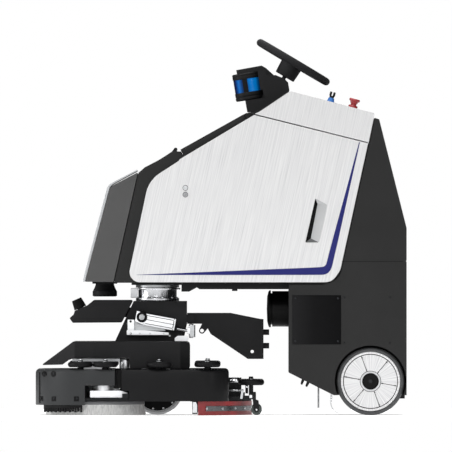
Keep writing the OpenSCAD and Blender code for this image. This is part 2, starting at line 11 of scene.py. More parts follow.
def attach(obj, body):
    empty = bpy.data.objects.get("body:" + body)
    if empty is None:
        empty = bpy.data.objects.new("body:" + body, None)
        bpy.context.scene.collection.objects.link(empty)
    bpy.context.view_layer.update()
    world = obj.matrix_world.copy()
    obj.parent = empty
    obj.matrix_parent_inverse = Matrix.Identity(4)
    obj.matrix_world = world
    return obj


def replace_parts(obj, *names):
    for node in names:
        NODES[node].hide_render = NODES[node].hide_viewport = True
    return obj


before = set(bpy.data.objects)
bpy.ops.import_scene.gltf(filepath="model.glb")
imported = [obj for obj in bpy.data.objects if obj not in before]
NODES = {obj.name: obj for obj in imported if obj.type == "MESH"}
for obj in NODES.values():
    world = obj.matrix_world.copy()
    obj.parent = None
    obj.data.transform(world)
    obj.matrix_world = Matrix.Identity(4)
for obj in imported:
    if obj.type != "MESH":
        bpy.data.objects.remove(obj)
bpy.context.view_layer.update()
MM = 0.001
SHARP = math.radians(32)
DULL = 0.1  # specular level of plastics and paints
GRAIN_LEAN = math.radians(-12.5)  # the panels' brushed grain off upright
TILT = math.radians(9.1)  # scanner
CONSOLE = math.radians(14.77)  # console's slope
COLUMN = math.radians(30.7)  # steering column off upright
SIDES = (("left", -1), ("right", 1))
SIDE_Y = 300  # the body's side faces
Z, LEFT = (0, 0, 1), (0, -1, 0)
NECK = (-235, 0, 0)  # steering axis
DRIVE = (-235, 0, 95)  # drive wheel's centre
REAR = (551, 0, 125)  # rear axle
COVER_START = -10  # degrees to a wheel cover's first seam
BRUSH_X, BRUSH_Y = -463, 190

# body and slot of pieces that come in groups
SHELL = ("base", "shell_black")
PANEL = ("base", "white_panel")
SCANNER = ("base", "scanner_black")
GRIP = ("steering_wheel", "wheel_grip")
STEER = ("steer_module", "neck_chrome")
ACTUATOR = ("steer_module", "actuator_silver")
ROD = ("actuator_rod", "rod_chrome")
DECK = ("deck", "deck_steel")
SKIRT = ("deck", "shroud_grey")
TOOL = (None, None)
SQUEEGEE = ("squeegee", "squeegee_steel")
random.seed(7)

# ---------------------------------------------------------------- materials


def srgb(r, g, b):
    """Linear colour from 0-255 display values."""
    out = []
    for c in (r, g, b):
        c /= 255.0
        out.append(c / 12.92 if c <= 0.04045 else ((c + 0.055) / 1.055) ** 2.4)
    return (*out, 1.0)


class Mat:
    """A node material with a few building blocks."""

    def __init__(self, name, rgb, rough=0.5, metal=0.0, **sockets):
        self.m = bpy.data.materials.new(name)
        self.m.use_nodes = True
        self.t = self.m.node_tree
        self.t.nodes.clear()
        self.out = self.t.nodes.new("ShaderNodeOutputMaterial")
        self.b = self.t.nodes.new("ShaderNodeBsdfPrincipled")
        self.link(self.b, "BSDF", self.out, "Surface")
        self.m.diffuse_color = srgb(*rgb)
        self.b.inputs["Base Color"].default_value = srgb(*rgb)
        self.b.inputs["Roughness"].default_value = rough
        self.b.inputs["Metallic"].default_value = metal
        for k, v in sockets.items():
            self.b.inputs[k.replace("_", " ")].default_value = v
        self.height = None

    def node(self, kind, **props):
        n = self.t.nodes.new(kind)
        for k, v in props.items():
            setattr(n, k, v)
        return n

    def link(self, a, ao, b, bi):
        self.t.links.new(a.outputs[ao], b.inputs[bi])

    def coords(self, scale=(1, 1, 1), turn=(0, 0, 0), at=(0, 0, 0)):
        """Object coordinates, turned first and stretched after."""
        c = self.node("ShaderNodeTexCoord")
        r = self.node("ShaderNodeMapping")
        r.inputs["Rotation"].default_value = turn
        r.inputs["Location"].default_value = at
        self.link(c, "Object", r, "Vector")
        m = self.node("ShaderNodeMapping")
        m.inputs["Scale"].default_value = scale
        self.link(r, "Vector", m, "Vector")
        return m

    def along(self, axis, at=None):
        """One object coordinate as a value."""
        x = self.node("ShaderNodeSeparateXYZ")
        self.link(at or self.coords(), "Vector", x, "Vector")
        return x.outputs[axis]

    def ramp(self, src, stops):
        """Base colour from (position, colour) stops."""
        r = self.node("ShaderNodeValToRGB")
        e = r.color_ramp.elements
        for k, (pos, rgb) in enumerate(stops):
            q = e[k] if k < 2 else e.new(pos)
            q.position, q.color = pos, srgb(*rgb)
        self.t.links.new(src, r.inputs["Fac"])
        self.t.links.new(r.outputs["Color"], self.b.inputs["Base Color"])

    def noise(self, scale, detail=3.0, rough=0.6, at=None):
        n = self.node("ShaderNodeTexNoise")
        n.inputs["Scale"].default_value = scale
        n.inputs["Detail"].default_value = detail
        n.inputs["Roughness"].default_value = rough
        self.link(at or self.coords(), "Vector", n, "Vector")
        return n

    def spread(self, src, lo, hi, to_lo, to_hi):
        r = self.node("ShaderNodeMapRange")
        for k, v in (("From Min", lo), ("From Max", hi), ("To Min", to_lo), ("To Max", to_hi)):
            r.inputs[k].default_value = v
        self.t.links.new(src, r.inputs["Value"])
        return r.outputs["Result"]

    def tint(self, src, a, b, lo=0.35, hi=0.65):
        """Base colour runs from a to b over the source's range."""
        self.ramp(src, [(lo, a), (hi, b)])

    def vary(self, src, rgb, down, up):
        """Base colour a little darker and lighter than rgb."""
        self.tint(src, [max(0, c - down) for c in rgb], [min(255, c + up) for c in rgb])

    def roughness(self, src, lo, hi, a=0.3, b=0.7):
        self.t.links.new(self.spread(src, a, b, lo, hi), self.b.inputs["Roughness"])

    def bump(self, src, strength, distance):
        n = self.node("ShaderNodeBump")
        n.inputs["Strength"].default_value = strength
        n.inputs["Distance"].default_value = distance
        self.t.links.new(src, n.inputs["Height"])
        if self.height is not None:
            self.t.links.new(self.height, n.inputs["Normal"])
        self.height = n.outputs["Normal"]
        self.t.links.new(self.height, self.b.inputs["Normal"])


def coated(name, rgb, rough, vary, grain, depth, cloud, gloss):
    """Dull surface with a fine grain, and slow changes of colour and gloss."""
    m = Mat(name, rgb, rough, Specular_IOR_Level=DULL)
    m.bump(m.noise(*grain).outputs["Fac"], *depth)
    w = m.noise(*cloud).outputs["Fac"]
    m.vary(w, rgb, *vary)
    m.roughness(w, rough - gloss[0], rough + gloss[1])
    return m.m


def moulded(name, rgb, rough, grain=0.25, size=900.0, vary=4):
    """Moulded plastic with a spark-eroded grain."""
    return coated(name, rgb, rough, (vary, vary), (size, 2.0, 0.5), (grain, 0.0004), (3.5, 4.0, 0.6),
                  (0.05, 0.07))


def painted(name, rgb, rough=0.42, orange=0.12, vary=4):
    """Powder coat on sheet, with a soft orange peel."""
    return coated(name, rgb, rough, (vary, vary), (320.0, 3.0, 0.55), (orange, 0.0006), (5.0, 3.0, 0.6),
                  (0.06, 0.08))


def rubber(name, rgb, rough=0.62):
    """Rubber or soft polyurethane."""
    return coated(name, rgb, rough, (5, 6), (700.0, 3.0, 0.6), (0.3, 0.0005), (14.0, 4.0, 0.65), (0.08, 0.12))


def metal(name, rgb, rough=0.25, along=(4, 400, 400), strength=0.12, turn=(0, 0, 0)):
    """Bright metal with fine machining or brushing marks."""
    m = Mat(name, rgb, rough, 1.0)
    at = m.coords(along, turn)
    n = m.noise(1.0, 3.0, 0.6, at)
    m.bump(n.outputs["Fac"], strength, 0.0003)
    m.roughness(n.outputs["Fac"], max(0.04, rough - 0.08), rough + 0.12)
    w = m.noise(6.0, 3.0, 0.6)
    m.vary(w.outputs["Fac"], rgb, 8, 6)
    return m.m


def brushed_panel():
    """Pale coated sheet with a long slanting brushed grain."""
    m = Mat("pale_brushed_sheet", (226, 226, 227), 0.42, Specular_IOR_Level=DULL)
    lean = (0, GRAIN_LEAN, 0)
    broad = m.noise(1.0, 3.0, 0.62, m.coords((230.0, 140.0, 2.6), lean))
    fine = m.noise(1.0, 2.0, 0.6, m.coords((640.0, 400.0, 8.0), lean))
    patch = m.noise(2.2, 3.0, 0.6)
    mix = m.node("ShaderNodeMix", data_type="FLOAT")
    mix.inputs[0].default_value = 0.45
    m.t.links.new(broad.outputs["Fac"], mix.inputs[2])
    m.t.links.new(fine.outputs["Fac"], mix.inputs[3])
    both = mix.outputs[0]
    m.ramp(both, [(0.28, (182, 183, 184)), (0.60, (228, 228, 228)), (0.42, (212, 212, 213))])
    m.bump(fine.outputs["Fac"], 0.1, 0.0004)
    m.roughness(both, 0.36, 0.52)
    m.bump(patch.outputs["Fac"], 0.02, 0.004)
    return m.m


def bristles(name, dark, light):
    """Fine upright bristles."""
    m = Mat(name, light, 0.8, Specular_IOR_Level=DULL)
    n = m.noise(420.0, 2.0, 0.5, m.coords((1, 1, 0.02)))
    m.tint(n.outputs["Fac"], dark, light, 0.3, 0.6)
    m.bump(n.outputs["Fac"], 0.25, 0.0008)
    return m.m


def rim_paint():
    """Pale wheel cover with fine radial marks."""
    m = Mat("wheel_cover_pearl", (230, 230, 231), 0.4, Specular_IOR_Level=DULL)
    at = m.coords(turn=(math.radians(90), 0, 0), at=(-REAR[0] * MM, REAR[2] * MM, 0))
    g = m.node("ShaderNodeTexGradient", gradient_type="RADIAL")
    m.link(at, "Vector", g, "Vector")
    n = m.node("ShaderNodeTexNoise", noise_dimensions="1D")
    n.inputs["Scale"].default_value = 110.0
    n.inputs["Detail"].default_value = 3.0
    m.t.links.new(g.outputs["Fac"], n.inputs["W"])
    m.ramp(n.outputs["Fac"], [(0.32, (204, 204, 206)), (0.66, (230, 230, 230))])
    w = m.noise(9.0, 3.0)
    m.roughness(w.outputs["Fac"], 0.34, 0.5)
    return m.m


def access_sheet():
    """Near-black cover with painted shading: lighter at the front, darker towards the rear."""
    m = Mat("black_sheet", (14, 14, 15), 0.5, Specular_IOR_Level=0.06)
    # painted shading that runs from the front to the rear
    m.ramp(m.spread(m.along("X"), 0.262, 0.443, 0.0, 1.0),
           [(0.0, (30, 30, 31)), (1.0, (5, 5, 6)), (0.45, (14, 14, 15))])
    n = m.noise(320.0, 3.0)
    m.bump(n.outputs["Fac"], 0.05, 0.0005)
    m.roughness(n.outputs["Fac"], 0.45, 0.58)
    return m.m


def red_blade():
    """Red polyurethane, slightly cloudy."""
    m = Mat("red_polyurethane", (150, 46, 50), 0.36, Coat_Weight=0.15, Coat_Roughness=0.3)
    w = m.noise(9.0, 4.0, 0.65)
    m.tint(w.outputs["Fac"], (128, 40, 44), (166, 54, 56), 0.3, 0.7)
    m.bump(m.noise(260.0, 2.0).outputs["Fac"], 0.12, 0.0006)
    m.roughness(w.outputs["Fac"], 0.28, 0.48)
    return m.m


def scanner_glass():
    """Blue window with painted shade and painted highlight bands across it, along the tilted scanner's X."""
    m = Mat("blue_scanner_window_painted_bands", (4, 104, 186), 0.16, Coat_Weight=0.08, Coat_Roughness=0.1,
            Specular_IOR_Level=0.06)
    turned = m.coords(turn=(0, TILT, 0))
    w = m.spread(m.along("X", turned), 0.24, 0.346, 0.0, 1.0)
    # the dark stops are painted shade and the bright stops painted highlights on the curved window
    m.ramp(w, [(0.0, (8, 10, 20)), (1.0, (2, 26, 58)), (0.07, (14, 44, 104)), (0.16, (10, 108, 196)),
               (0.27, (12, 62, 122)),
               (0.33, (8, 34, 78)), (0.46, (4, 92, 166)), (0.58, (4, 142, 240)), (0.78, (6, 148, 246)),
               (0.92, (2, 60, 118))])
    m.roughness(m.noise(60.0, 2.0).outputs["Fac"], 0.12, 0.2)
    return m.m


def lens_glass(name, rgb, rough=0.06):
    """Smooth clear-coated surface."""
    m = Mat(name, rgb, rough, Coat_Weight=0.6, Coat_Roughness=0.03)
    n = m.noise(4.0, 2.0)
    m.roughness(n.outputs["Fac"], rough, rough + 0.05)
    return m.m


M = {
    "shell": moulded("charcoal_moulding", (43, 43, 43), 0.6, 0.15, vary=2),
    "hood": moulded("mid_grey_moulding", (83, 83, 83), 0.58, 0.15, vary=2),
    "plate": painted("pearl_silver", (216, 218, 220), 0.36, 0.05, 3),
    "white": brushed_panel(),
    "head": moulded("satin_black_moulding", (38, 38, 39), 0.52, 0.15, vary=2),
    "scanner": moulded("scanner_black", (26, 26, 27), 0.45, 0.1, vary=2),
    "black": moulded("deep_black", (14, 14, 14), 0.5),
    "access": access_sheet(),
    "frame": painted("frame_powder_coat", (30, 31, 32), 0.5, 0.08, 3),
    "arm": painted("arm_powder_coat", (40, 40, 41), 0.52, 0.08, 3),
    "cover": moulded("cover_moulding", (30, 30, 31), 0.42, 0.1, vary=2),
    "shroud": moulded("shroud_moulding", (52, 53, 54), 0.42, 0.1, vary=2),
    "fairing": moulded("fairing_moulding", (22, 22, 23), 0.36, 0.08, vary=2),
    "canister": moulded("canister_black", (9, 9, 9), 0.36, 0.08, vary=2),
    "battery": moulded("battery_case", (58, 70, 86), 0.6),
    "tank": moulded("tank_white", (208, 212, 214), 0.5),
    "grip": moulded("soft_grip", (38, 38, 39), 0.62, 0.35, 1400.0, vary=2),
    "tyre": rubber("grey_tyre", (78, 79, 80)),
    "roller": rubber("black_roller_tread", (15, 15, 16), 0.42),
    "caster": rubber("caster_tread", (84, 90, 88), 0.5),
    "tread": rubber("light_drive_tread", (176, 177, 178), 0.5),
    "drive": painted("drive_motor_black", (12, 12, 13), 0.42, 0.05, 2),
    "rim": rim_paint(),
    "hubring": painted("hub_ring_grey", (196, 197, 199), 0.38, 0.06, 4),
    "chrome": metal("turned_chrome", (206, 207, 210), 0.2, (300, 300, 4), 0.05),
    "steel": metal("brushed_steel", (186, 188, 190), 0.32, (4, 300, 300)),
    "alu": metal("brushed_aluminium", (236, 237, 239), 0.42, (6, 260, 260)),
    "strap": metal("strap_steel_dark", (122, 124, 126), 0.3, (4, 300, 300)),
    "cast": metal("cast_aluminium", (232, 233, 235), 0.45, (40, 40, 40), 0.2),
    "zinc": metal("zinc_fasteners", (214, 216, 218), 0.3, (60, 60, 60)),
    "dark_bolt": metal("black_oxide_bolts", (44, 45, 47), 0.42, (60, 60, 60)),
    # cup and cup_dark are greys painted as shade in the door's cup; cup_dark also colours the studs' seat rings
    "cup": painted("cup_floor_painted_shade", (186, 187, 188), 0.4, 0.05, 3),
    "cup_dark": painted("cup_shade", (104, 105, 106), 0.5, 0.05, 3),
    "stud": painted("stud_grey", (168, 169, 171), 0.35, 0.04, 3),
    "stripe": painted("blue_stripe", (42, 44, 106), 0.42, 0.05, 3),
    "red_button": lens_glass("red_button_gloss", (160, 24, 32), 0.3),
    "blue_cone": lens_glass("blue_collar_gloss", (16, 104, 184), 0.3),
    "glass": lens_glass("black_glass", (10, 11, 13)),
    "blade": red_blade(),
    "bristle": bristles("light_bristles", (176, 176, 176), (216, 216, 215)),
    "block": moulded("brush_block", (112, 113, 115), 0.6),
    "window": scanner_glass(),
}


# ---------------------------------------------------------------- mesh helpers


def obj_from(name, bm, mat, body, slot, sharp=SHARP, smooth=True):
    """An object from a mesh, riding on a body. The slot argument is not used. Cutting tools have no body."""
    bmesh.ops.recalc_face_normals(bm, faces=bm.faces)
    me = bpy.data.meshes.new(name)
    bm.to_mesh(me)
    bm.free()
    if smooth:
        me.shade_smooth()
        me.set_sharp_from_angle(angle=sharp)
    o = bpy.data.objects.new(name, me)
    bpy.context.scene.collection.objects.link(o)
    for m in mat if isinstance(mat, (list, tuple)) else [mat]:
        me.materials.append(M[m])
    if body:
        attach(o, body)
    return o


def shade(o):
    """Smooth faces, sharp edges, after a cut."""
    o.data.shade_smooth()
    o.data.set_sharp_from_angle(angle=SHARP)


def bevel(o, width, segs=2, angle=32):
    m = o.modifiers.new("edge", "BEVEL")
    m.width = width * MM
    m.segments = segs
    m.limit_method = "ANGLE"
    m.angle_limit = math.radians(angle)
    m.harden_normals = True
    return o


def bake(o):
    """Applies the modifiers."""
    dg = bpy.context.evaluated_depsgraph_get()
    dg.update()
    me = bpy.data.meshes.new_from_object(o.evaluated_get(dg), preserve_all_data_layers=True, depsgraph=dg)
    o.modifiers.clear()
    o.data = me
    return o


def cut(o, *tools):
    """Takes the tools out of o, and removes them."""
    for t in tools:
        m = o.modifiers.new("cut", "BOOLEAN")
        m.operation = "DIFFERENCE"
        m.solver = "EXACT"
        m.object = t
    bake(o)
    for t in tools:
        bpy.data.objects.remove(t)
    return o


def fillet(pts, radii, n=5):
    """Rounds a closed outline's corners. radii is one number or one per corner."""
    out = []
    k = len(pts)
    for i in range(k):
        r = radii[i] if isinstance(radii, (list, tuple)) else radii
        p = Vector(pts[i])
        a = Vector(pts[i - 1]) - p
        b = Vector(pts[(i + 1) % k]) - p
        la, lb = a.length, b.length
        if r <= 0 or la < 1e-6 or lb < 1e-6:
            out.append(tuple(p))
            continue
        a, b = a / la, b / lb
        ang = a.angle(b)
        if ang > math.radians(176):
            out.append(tuple(p))
            continue
        d = min(r / math.tan(ang / 2), la * 0.48, lb * 0.48)
        r = d * math.tan(ang / 2)
        c = p + (a + b).normalized() * (r / math.sin(ang / 2))
        s, e = p + a * d - c, p + b * d - c
        sweep = s.angle_signed(e)
        for j in range(n + 1):
            t = -sweep * j / n
            out.append((c.x + s.x * math.cos(t) - s.y * math.sin(t),
                        c.y + s.x * math.sin(t) + s.y * math.cos(t)))
    return out


def prism_bm(pts, y0, y1, plane="xz"):
    """plane xz extrudes along Y, xy along Z, yz along X."""
    bm = bmesh.new()
    put = {"xz": lambda u, v, w: (u, w, v), "xy": lambda u, v, w: (u, v, w), "yz": lambda u, v,
           w: (w, u, v)}[plane]
    a = [bm.verts.new([c * MM for c in put(u, v, y0)]) for u, v in pts]
    b = [bm.verts.new([c * MM for c in put(u, v, y1)]) for u, v in pts]
    bm.faces.new(a)
    bm.faces.new(b[::-1])
    for i in range(len(pts)):
        j = (i + 1) % len(pts)
        bm.faces.new((a[i], a[j], b[j], b[i]))
    return bm


def prism(name, pts, y0, y1, mat, body, slot, edge=1.5, segs=2, plane="xz"):
    """An extruded outline with a rounded edge."""
    o = obj_from(name, prism_bm(pts, y0, y1, plane), mat, body, slot)
    if edge:
        bevel(o, edge, segs)
    return o


def block(name, x0, x1, y0, y1, z0, z1, mat, body, slot, edge=1.5, segs=2):
    return prism(name, [(x0, z0), (x1, z0), (x1, z1), (x0, z1)], y0, y1, mat, body, slot, edge, segs)


def basis(centre, axis, up=Z):
    """Matrix with local Z along axis, at centre in millimetres."""
    z = Vector(axis).normalized()
    x = Vector(up).cross(z)
    if x.length < 1e-4:
        x = Vector((1, 0, 0))
    x.normalize()
    y = z.cross(x)
    m = Matrix((x, y, z)).transposed().to_4x4()
    m.translation = Vector(centre) * MM
    return m


def placed(at, lean):
    """Matrix that leans about Y and moves to a point in millimetres."""
    return Matrix.Translation(Vector(at) * MM) @ Matrix.Rotation(lean, 4, "Y")


def moved(bm, matrix):
    """The mesh, transformed."""
    bmesh.ops.transform(bm, matrix=matrix, verts=bm.verts)
    return bm


def lathe_bm(profile, centre, axis, n=72, ring=False, bm=None, wob=None):
    """profile is (radius, height) pairs along the axis. ring closes it into a loop."""
    bm = bm or bmesh.new()
    m = basis(centre, axis)
    rows = []
    for k, (r, h) in enumerate(profile):
        if r <= 1e-6:
            rows.append([bm.verts.new(m @ Vector((0, 0, h * MM)))])
        else:
            row = []
            for i in range(n):
                t = 2 * math.pi * i / n
                rr = r + (wob(k, i, t) if wob else 0.0)
                row.append(bm.verts.new(m @ Vector((rr * math.cos(t) * MM, rr * math.sin(t) * MM, h * MM))))
            rows.append(row)
    pairs = list(zip(rows, rows[1:]))
    if ring:
        pairs.append((rows[-1], rows[0]))
    for a, b in pairs:
        for i in range(n):
            j = (i + 1) % n
            if len(a) == 1 and len(b) == 1:
                break
            if len(a) == 1:
                bm.faces.new((a[0], b[j], b[i]))
            elif len(b) == 1:
                bm.faces.new((a[i], a[j], b[0]))
            else:
                bm.faces.new((a[i], a[j], b[j], b[i]))
    return bm


def lathe(name, profile, centre, axis, mat, body, slot, n=72, ring=False, wob=None, sharp=SHARP):
    """A turned piece. wob(row, step, angle) adds to the radius."""
    return obj_from(name, lathe_bm(profile, centre, axis, n, ring, wob=wob), mat, body, slot, sharp)


def soft(profile, r=1.0, n=3):
    """Rounds the corners of an open lathe profile."""
    out = [profile[0]]
    for i in range(1, len(profile) - 1):
        p, a, b = Vector(profile[i]), Vector(profile[i - 1]), Vector(profile[i + 1])
        la, lb = (a - p).length, (b - p).length
        d = min(r, la * 0.45, lb * 0.45)
        if d < 0.05:
            out.append(tuple(p))
            continue
        s, e = p + (a - p).normalized() * d, p + (b - p).normalized() * d
        for j in range(n + 1):
            t = j / n
            q = s * (1 - t) ** 2 + p * 2 * t * (1 - t) + e * t**2
            out.append((q.x, q.y))
    out.append(profile[-1])
    return out


def skin(bm, rows, wrap=True):
    """Faces between neighbouring rows of vertices. wrap joins each row's last to its first."""
    n = len(rows[0])
    for a, b in zip(rows, rows[1:]):
        for i in range(n if wrap else n - 1):
            j = (i + 1) % n
            bm.faces.new((a[i], a[j], b[j], b[i]))


def close(bm, first, last):
    """Flat faces over a loft's two ends."""
    bm.faces.new(first)
    bm.faces.new(last[::-1])


def circle(n, start=0.0):
    """n (cosine, sine) pairs round a circle."""
    return [(math.cos(start + 2 * math.pi * j / n), math.sin(start + 2 * math.pi * j / n)) for j in range(n)]


def around(centre, r, deg, y):
    """A point on a circle about an axle, degrees from +X towards +Z."""
    a = math.radians(deg)
    return (centre[0] + r * math.cos(a), y, centre[2] + r * math.sin(a))


def tube(name, path, radius, mat, body, slot, n=16):
    """A round bar along a path of points."""
    bm = bmesh.new()
    pts = [Vector(p) * MM for p in path]
    rows = []
    prev = None
    for i, p in enumerate(pts):
        d = (pts[min(i + 1, len(pts) - 1)] - pts[max(i - 1, 0)]).normalized()
        side = prev - d * prev.dot(d) if prev is not None else d.cross(Vector(Z))
        if side.length < 1e-4:
            side = d.cross(Vector((0, 1, 0)))
        prev = side = side.normalized()
        up = d.cross(side)
        rows.append([bm.verts.new(p + (side * c + up * q) * radius * MM) for c, q in circle(n)])
    skin(bm, rows)
    close(bm, rows[0], rows[-1])
    return obj_from(name, bm, mat, body, slot)


class Bolts:
    """Fasteners of one finish on one body, gathered in one mesh."""

    def __init__(self, name, mat, body, slot):
        self.a = (name, mat, body, slot)
        self.bm = bmesh.new()

    def cap(self, c, axis, r, h):
        """Socket cap screw."""
        s = r * 0.5
        lathe_bm(soft([(0, h * 0.45), (s, h * 0.45), (s, h), (r, h), (r, 0)], r * 0.12, 2), c, axis, 24,
                 bm=self.bm)

    def pan(self, c, axis, r, h):
        prof = [(0, h * 0.6), (r * 0.28, h * 0.6), (r * 0.3, h), (r * 0.62, h * 0.86), (r * 0.9, h * 0.5),
                (r, 0)]
        lathe_bm(prof, c, axis, 24, bm=self.bm)

    def hexa(self, c, axis, r, h):
        lathe_bm([(0, h), (r * 0.8, h), (r, h * 0.85), (r, 0)], c, axis, 6, bm=self.bm)

    def done(self):
        n, m, b, s = self.a
        return obj_from(n, self.bm, m, b, s, math.radians(28))


def finish_node(node, mat, edge=0.0, segs=2):
    """A CAD node that stays: its finish, and a rounded edge."""
    o = NODES[node]
    o.data.materials.clear()
    o.data.materials.append(M[mat])
    if edge:
        bevel(o, edge, segs, 35)


def both(make):
    """Calls make(side word, sign) for the left and the right."""
    for word, s in SIDES:
        make(word, s)


def yspan(s, a, b):
    """Sorted Y limits of a span given as distances from the middle."""
    return (min(s * a, s * b), max(s * a, s * b))


# ---------------------------------------------------------------- body panels

DOOR = [(-346, 490), (-266, 866), (-156, 937), (-152, 943.5), (122, 1107), (542, 1002.5), (464, 646),
        (440, 535), (409, 490)]
DOOR_R = [38, 115, 0, 0, 3, 3, 0, 62, 58]


def ribbon(name, outer, inner, y0, y1, mat, body, slot):
    """A thin plate between two outlines of the same length."""
    bm = bmesh.new()
    edges = ((outer, y0), (inner, y0), (inner, y1), (outer, y1))
    rows = [[bm.verts.new((x * MM, y * MM, z * MM)) for x, z in line] for line, y in edges]
    skin(bm, rows + rows[:1], False)
    close(bm, [r[0] for r in rows], [r[-1] for r in rows])
    return obj_from(name, bm, mat, body, slot)


def make_door(word, s):
    body = word + "_door"
    node = word + "_side_door"
    o = prism(node + "_skin", fillet(DOOR, DOOR_R, 10), *yspan(s, 289, 300), "white", body, "white_panel", 0)
    cup = fillet([(348, 799), (391, 776), (361, 637), (311, 637)], [2, 8, 8, 3], 4)
    tool = obj_from("cup_tool", prism_bm(cup, *yspan(s, 285, 310)), "white", *TOOL)
    cut(o, tool)
    shade(o)
    bevel(o, 1.6, 2)
    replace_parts(o, node)
    # the cup: a floor that falls away towards a finger slot along its front edge, and each face's finish: the
    # floor's grey, the slot's black and the lower face's darker grey are painted shade in the recess
    bm = bmesh.new()
    P = {
        "tl": (348, 300, 799), "tr": (391, 299.4, 776), "br": (361, 299.4, 637), "bl": (311, 300, 637),
        "a": (356, 292, 779), "d": (331, 292, 652),
        "ti": (348, 289.5, 797), "bi": (312, 289.5, 639), "ai": (356, 289.5, 779), "di": (331, 289.5, 652),
    }
    V = {k: bm.verts.new((x * MM, s * y * MM, z * MM)) for k, (x, y, z) in P.items()}
    quads = [("a", "tr", "br", "d", 0), ("tl", "tr", "a", None, 0), ("bl", "d", "br", None, 2),
             ("a", "d", "di", "ai", 1), ("ai", "di", "bi", "ti", 1),
             ("tl", "ti", "bi", "bl", 1), ("tl", "a", "ai", "ti", 1), ("bl", "bi", "di", "d", 1)]
    for a, b, c, d, k in quads:
        bm.faces.new([V[q] for q in (a, b, c, d) if q]).material_index = k
    obj_from(node + "_cup", bm, ["cup", "black", "cup_dark"], body, "white_panel", smooth=False)
    out = [(512, 1006), (478, 854), (444.2, 701), (428, 630), (411.5, 559), (408, 546), (403, 534), (395, 525),
           (385, 519.5), (374, 517.5), (300, 517.2), (103, 517), (-100, 517), (-311, 517)]
    inn = [(508.5, 1006), (467.5, 854), (425.7, 701), (406.5, 630), (389, 562), (387, 556), (383.5, 551.5),
           (379, 548.5), (372, 546.6), (364, 545.8), (300, 542.8), (103, 534.7), (-100, 526.2), (-311, 517.8)]
    ribbon(node + "_stripe", out, inn, *yspan(s, 299.9, 300.35), "stripe", body, "white_panel")
    for z, mat, tag in ((838, "plate", "upper"), (813, "stud", "lower")):
        b = Bolts(node + "_stud_" + tag, mat, body, "white_panel")
        b.cap((-131.5, s * SIDE_Y, z), (0, s, 0), 8.2, 3.6)
        b.done()
        lathe(node + "_stud_seat_" + tag, [(8.4, 0), (8.4, 0.5), (10.2, 0.5), (10.2, 0)],
              (-131.5, s * SIDE_Y, z), (0, s, 0), "cup_dark", body, "white_panel", 40, ring=True)


both(make_door)

# top hood in the same sheet, with the console's panel gap
hood = fillet([(124, 1110.5), (145, 1121), (255, 1195), (566, 1113), (544.5, 1005.3)], [0, 4, 10, 5, 2], 5)
top = prism("top_hood_skin", hood, -SIDE_Y, SIDE_Y, "white", *PANEL, 0)


def on_console(bm):
    """Turns a mesh from the console's own axes: X back along the slope, Z out of it."""
    return moved(bm, placed((255, 0, 1195), CONSOLE))


pocket = obj_from("pocket", on_console(prism_bm([(87, -105.6), (238.2, -105.6), (238.2, 105.6), (87, 105.6)],
                                                -3, 12, "xy")), "white", *TOOL)
holes = [obj_from("switch_hole", on_console(lathe_bm([(0, -60), (r, -60), (r, 40), (0, 40)], (x, -200, 0), Z,
                                                     48)), "white", *TOOL) for x, r in ((238.5, 13), (154, 9))]
cut(top, pocket, *holes)
shade(top)
bevel(top, 2.2, 2)
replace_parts(top, "top_hood")

scr = obj_from("touch_screen_glass", on_console(prism_bm(fillet([(87.8, -105), (237.4, -105), (237.4, 105),
                                                                 (87.8, 105)], 7, 4), -2.8, 1.4, "xy")),
                                                                 "glass", "base", "screen_glass")
bevel(scr, 0.8, 2)
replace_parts(scr, "touch_screen")
obj_from("touch_screen_bezel", on_console(prism_bm(fillet([(96, -92), (229, -92), (229, 92), (96, 92)], 3, 3),
                                                   1.4, 1.7, "xy")), "black", "base", "screen_glass")

# the dark shell, column and lid keep their CAD shape
finish_node("body_shell", "shell", 0.8)
finish_node("rear_housing", "shell", 2.0)
finish_node("tank_lid", "shell", 0.7)
finish_node("chassis_frame", "frame", 1.2)
finish_node("battery_pack", "battery", 2.0)
finish_node("water_tank", "tank", 1.5)
finish_node("slew_ring", "steel", 0.5)

HOOD = [(-501, 492), (-407.6, 843), (-306, 896), (-396, 491)]
o = prism("front_hood_skin", fillet(HOOD, [3, 31, 3, 3], 8), -288, 288, "hood", "base", "hood_grey", 3, 3)
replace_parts(o, "front_hood")
PLATE = [(-511.5, 492), (-418.2, 849), (-310, 905.5), (-307.6, 900.6), (-408.6, 846), (-502.2, 492)]
o = prism("front_plate_skin", fillet(PLATE, [1, 38, 1.5, 1, 32, 1], 8), -262, 262, "plate", "base",
          "silver_plate", 0)


def slab(cx, cy, cz, sx, sy, sz, turn, name, mat, body, slot):
    bm = prism_bm(fillet([(-sx / 2, -sz / 2), (sx / 2, -sz / 2), (sx / 2, sz / 2), (-sx / 2, sz / 2)], 0),
                  -sy / 2, sy / 2)
    return obj_from(name, moved(bm, placed((cx, cy, cz), math.radians(turn))), mat, body, slot)


cut(o, slab(-443, 120, 742, 40, 104, 34, 15, "t1", "plate", *TOOL),
    slab(-443, -120, 742, 40, 104, 34, 15, "t2", "plate", *TOOL))
shade(o)
bevel(o, 1.6, 2)
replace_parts(o, "front_plate")
finish_node("depth_cameras", "glass", 1.0)

# service panels and their screws
finish_node("service_panels", "access", 1.2)
scr_set = Bolts("service_panel_screws", "dark_bolt", "base", "screw_steel")
for s in (-1, 1):
    for x in (274, 431):
        for z in (273, 431):
            scr_set.pan((x, s * SIDE_Y, z), (0, s, 0), 4, 1.8)
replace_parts(scr_set.done(), "panel_screws")

